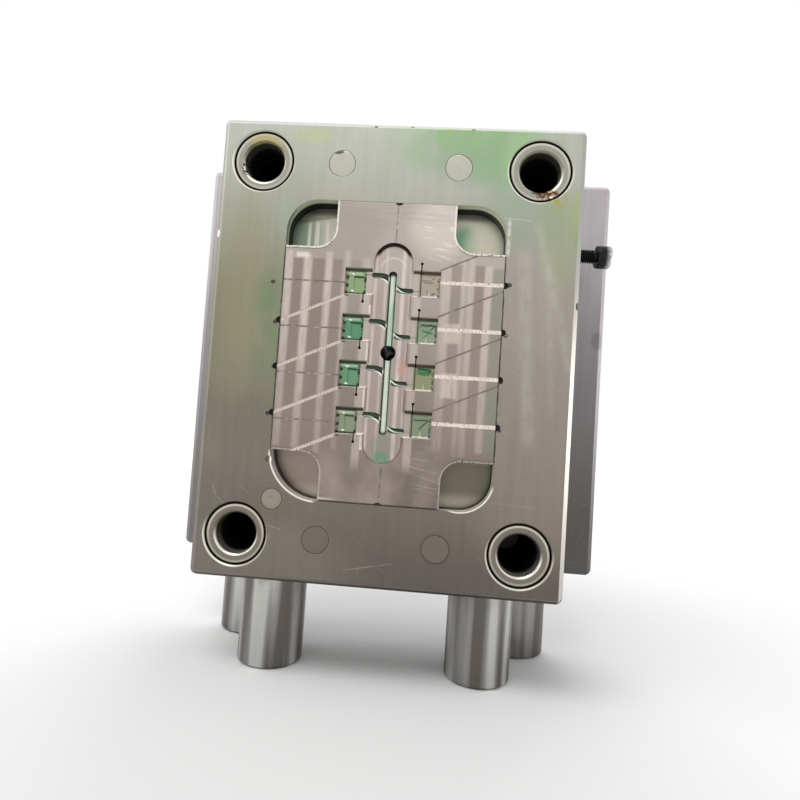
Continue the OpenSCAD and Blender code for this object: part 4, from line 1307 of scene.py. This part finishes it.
class MOULD_OT_tapped_holes(MouldOperator):
    """Cut the threads of the lifting hole and the coolant ports"""

    bl_idname = "mould.tapped_holes"
    bl_label = "Tapped holes"

    def build(self, paints, sizes):
        f = Finish("thread_steel", paint(108, 104, 96), 0.35)
        speck = f.noise((0.6, 0.6, 0.6), 3.0)
        f.shade(speck * 0.5 + 0.7)
        f.tint(speck.ramp(0.6, 0.7) * 0.4, paints.grime)
        finish = f.done()
        foot, top = (corner.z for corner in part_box("cavity_plate"))
        middle_y = middle("cavity_plate").y
        # name, radius of the wall, length, pitch, place, and 1 for the top or -1 for the foot
        holes = [("lifting_thread", 6.0, 20.0, sizes.lift_pitch, 0.0, middle_y, 1)]
        port_y = FACE_Y + 40 * MM
        for side, x in (("left", -18), ("right", 18)):
            holes.append(("port_thread_top_" + side, 6.6, 11.0, sizes.port_pitch, x * MM, port_y, 1))
            holes.append(("port_thread_foot_" + side, 6.6, 11.0, sizes.port_pitch, x * MM, port_y, -1))
        for name, wall, length, pitch, x, y, up in holes:
            ridge = thread_ridge(name, wall, wall - pitch / MM * 0.55, pitch / MM, length)
            if up > 0:
                place(ridge, (x, y, top - (length + 0.3) * MM))
            else:
                place(ridge, (x, y, foot + 0.8 * MM))
            smooth(ridge, 30)
            dress(ridge, finish)


class MOULD_OT_stage(bpy.types.Operator):
    """Lay the floor, set the light and stand the camera"""

    bl_idname = "mould.stage"
    bl_label = "Stage"
    bl_options = {"REGISTER", "UNDO"}

    def execute(self, context):
        settings = context.scene.mould_stage
        self.floor(context.scene.mould_paints)
        self.sky(context.scene, settings)
        # name, width, height, power, place
        for name, wide, high, power, at in (
            ("key", 0.9, 0.5, 7.0, (-0.3, -0.55, 1.3)),
            ("left_strip", 0.3, 0.7, 1.6, (-0.9, -0.1, 0.4)),
            ("right_strip", 0.3, 0.34, 1.6, (0.9, 0.17, 0.15)),
            ("back", 0.9, 0.5, 4.0, (0.1, 0.75, 1.0)),
        ):
            self.lamp(name, wide, high, power, Vector(at))
        bpy.ops.object.select_all(action="DESELECT")
        bpy.ops.object.camera_add(location=settings.camera_place, rotation=settings.camera_turn)
        camera = context.object
        camera.name = "camera"
        camera.data.lens = settings.lens
        camera.data.sensor_width = 36
        camera.data.clip_start, camera.data.clip_end = 0.01, 20
        context.scene.camera = camera
        context.scene.view_settings.view_transform = "Standard"
        return {"FINISHED"}

    def lamp(self, name, wide, high, power, at):
        aim = Vector((0, 0, MID_Z)) - at
        bpy.ops.object.select_all(action="DESELECT")
        bpy.ops.object.light_add(type="AREA", location=at, rotation=aim.to_track_quat("-Z", "Y").to_euler())
        lamp = bpy.context.object
        lamp.name = name
        lamp.visible_camera = False
        lamp.data.shape = "RECTANGLE"
        lamp.data.size, lamp.data.size_y = wide, high
        lamp.data.energy = power

    def floor(self, paints):
        bpy.ops.object.select_all(action="DESELECT")
        bpy.ops.mesh.primitive_plane_add(size=1, location=(0, 0, 0))
        floor = bpy.context.object
        floor.name = "floor"
        with editing(floor):
            bpy.ops.mesh.select_all(action="SELECT")
            bpy.ops.transform.resize(value=(12, 12, 1), center_override=(0, 0, 0))
            bpy.ops.mesh.subdivide(number_cuts=5)
        material = bpy.data.materials.new("floor_paper")
        material.use_nodes = True
        shader = material.node_tree.nodes["Principled BSDF"]
        shader.inputs["Base Color"].default_value = (*paints.floor, 1.0)
        shader.inputs["Roughness"].default_value = 0.9
        shader.inputs["Specular IOR Level"].default_value = 0.1
        shader.inputs["Emission Color"].default_value = (1.0, 1.0, 1.0, 1.0)
        # the paper runs out into the white of the background
        tree = material.node_tree
        spot = tree.nodes.new("ShaderNodeTexCoord").outputs["Object"]
        reach = tree.nodes.new("ShaderNodeVectorMath")
        reach.operation = "LENGTH"
        tree.links.new(spot, reach.inputs[0])
        fade = tree.nodes.new("ShaderNodeMapRange")
        fade.interpolation_type = "SMOOTHSTEP"
        fade.inputs["From Min"].default_value = 0.2
        fade.inputs["From Max"].default_value = 1.5
        fade.inputs["To Max"].default_value = 0.5
        tree.links.new(reach.outputs["Value"], fade.inputs["Value"])
        tree.links.new(fade.outputs[0], shader.inputs["Emission Strength"])
        floor.data.materials.append(material)

    def sky(self, scene, settings):
        """White where the camera, metal and glass see it, softer as light."""
        world = bpy.data.worlds.new("studio")
        world.use_nodes = True
        tree = world.node_tree
        background = tree.nodes["Background"]
        background.inputs["Color"].default_value = (1.0, 1.0, 1.0, 1.0)
        path = tree.nodes.new("ShaderNodeLightPath")
        seen = path.outputs["Is Camera Ray"]
        for other in ("Is Glossy Ray", "Is Transmission Ray"):
            either = tree.nodes.new("ShaderNodeMath")
            either.operation = "MAXIMUM"
            tree.links.new(seen, either.inputs[0])
            tree.links.new(path.outputs[other], either.inputs[1])
            seen = either.outputs[0]
        strength = tree.nodes.new("ShaderNodeMix")
        strength.inputs[2].default_value = settings.sky
        strength.inputs[3].default_value = 1.0
        tree.links.new(seen, strength.inputs[0])
        tree.links.new(strength.outputs[0], background.inputs["Strength"])
        scene.world = world


class MOULD_PT_panel(bpy.types.Panel):
    """Lists the pieces of the mould"""

    bl_idname = "MOULD_PT_panel"
    bl_label = "Mould"
    bl_space_type = "VIEW_3D"
    bl_region_type = "UI"
    bl_category = "Mould"

    def draw(self, context):
        for operator in OPERATORS:
            self.layout.operator(operator.bl_idname)
        for group in (context.scene.mould_sizes, context.scene.mould_paints, context.scene.mould_stage):
            box = self.layout.box()
            for name in group.__annotations__:
                box.prop(group, name)


OPERATORS = (
    MOULD_OT_front_plate,
    MOULD_OT_clamp_plate,
    MOULD_OT_insert,
    MOULD_OT_bushes,
    MOULD_OT_pads,
    MOULD_OT_legs,
    MOULD_OT_back_fittings,
    MOULD_OT_screws,
    MOULD_OT_tapped_holes,
    MOULD_OT_stage,
)
GROUPS = {"mould_paints": MouldPaints, "mould_sizes": MouldSizes, "mould_stage": MouldStage}


def register():
    for kind in (*GROUPS.values(), *OPERATORS, MOULD_PT_panel):
        bpy.utils.register_class(kind)
    for name, group in GROUPS.items():
        setattr(bpy.types.Scene, name, PointerProperty(type=group))


def unregister():
    for name in GROUPS:
        delattr(bpy.types.Scene, name)
    for kind in (MOULD_PT_panel, *reversed(OPERATORS), *GROUPS.values()):
        bpy.utils.unregister_class(kind)


def main():
    register()
    for operator in OPERATORS:
        group, name = operator.bl_idname.split(".")
        getattr(getattr(bpy.ops, group), name)()


if __name__ == "__main__":
    main()
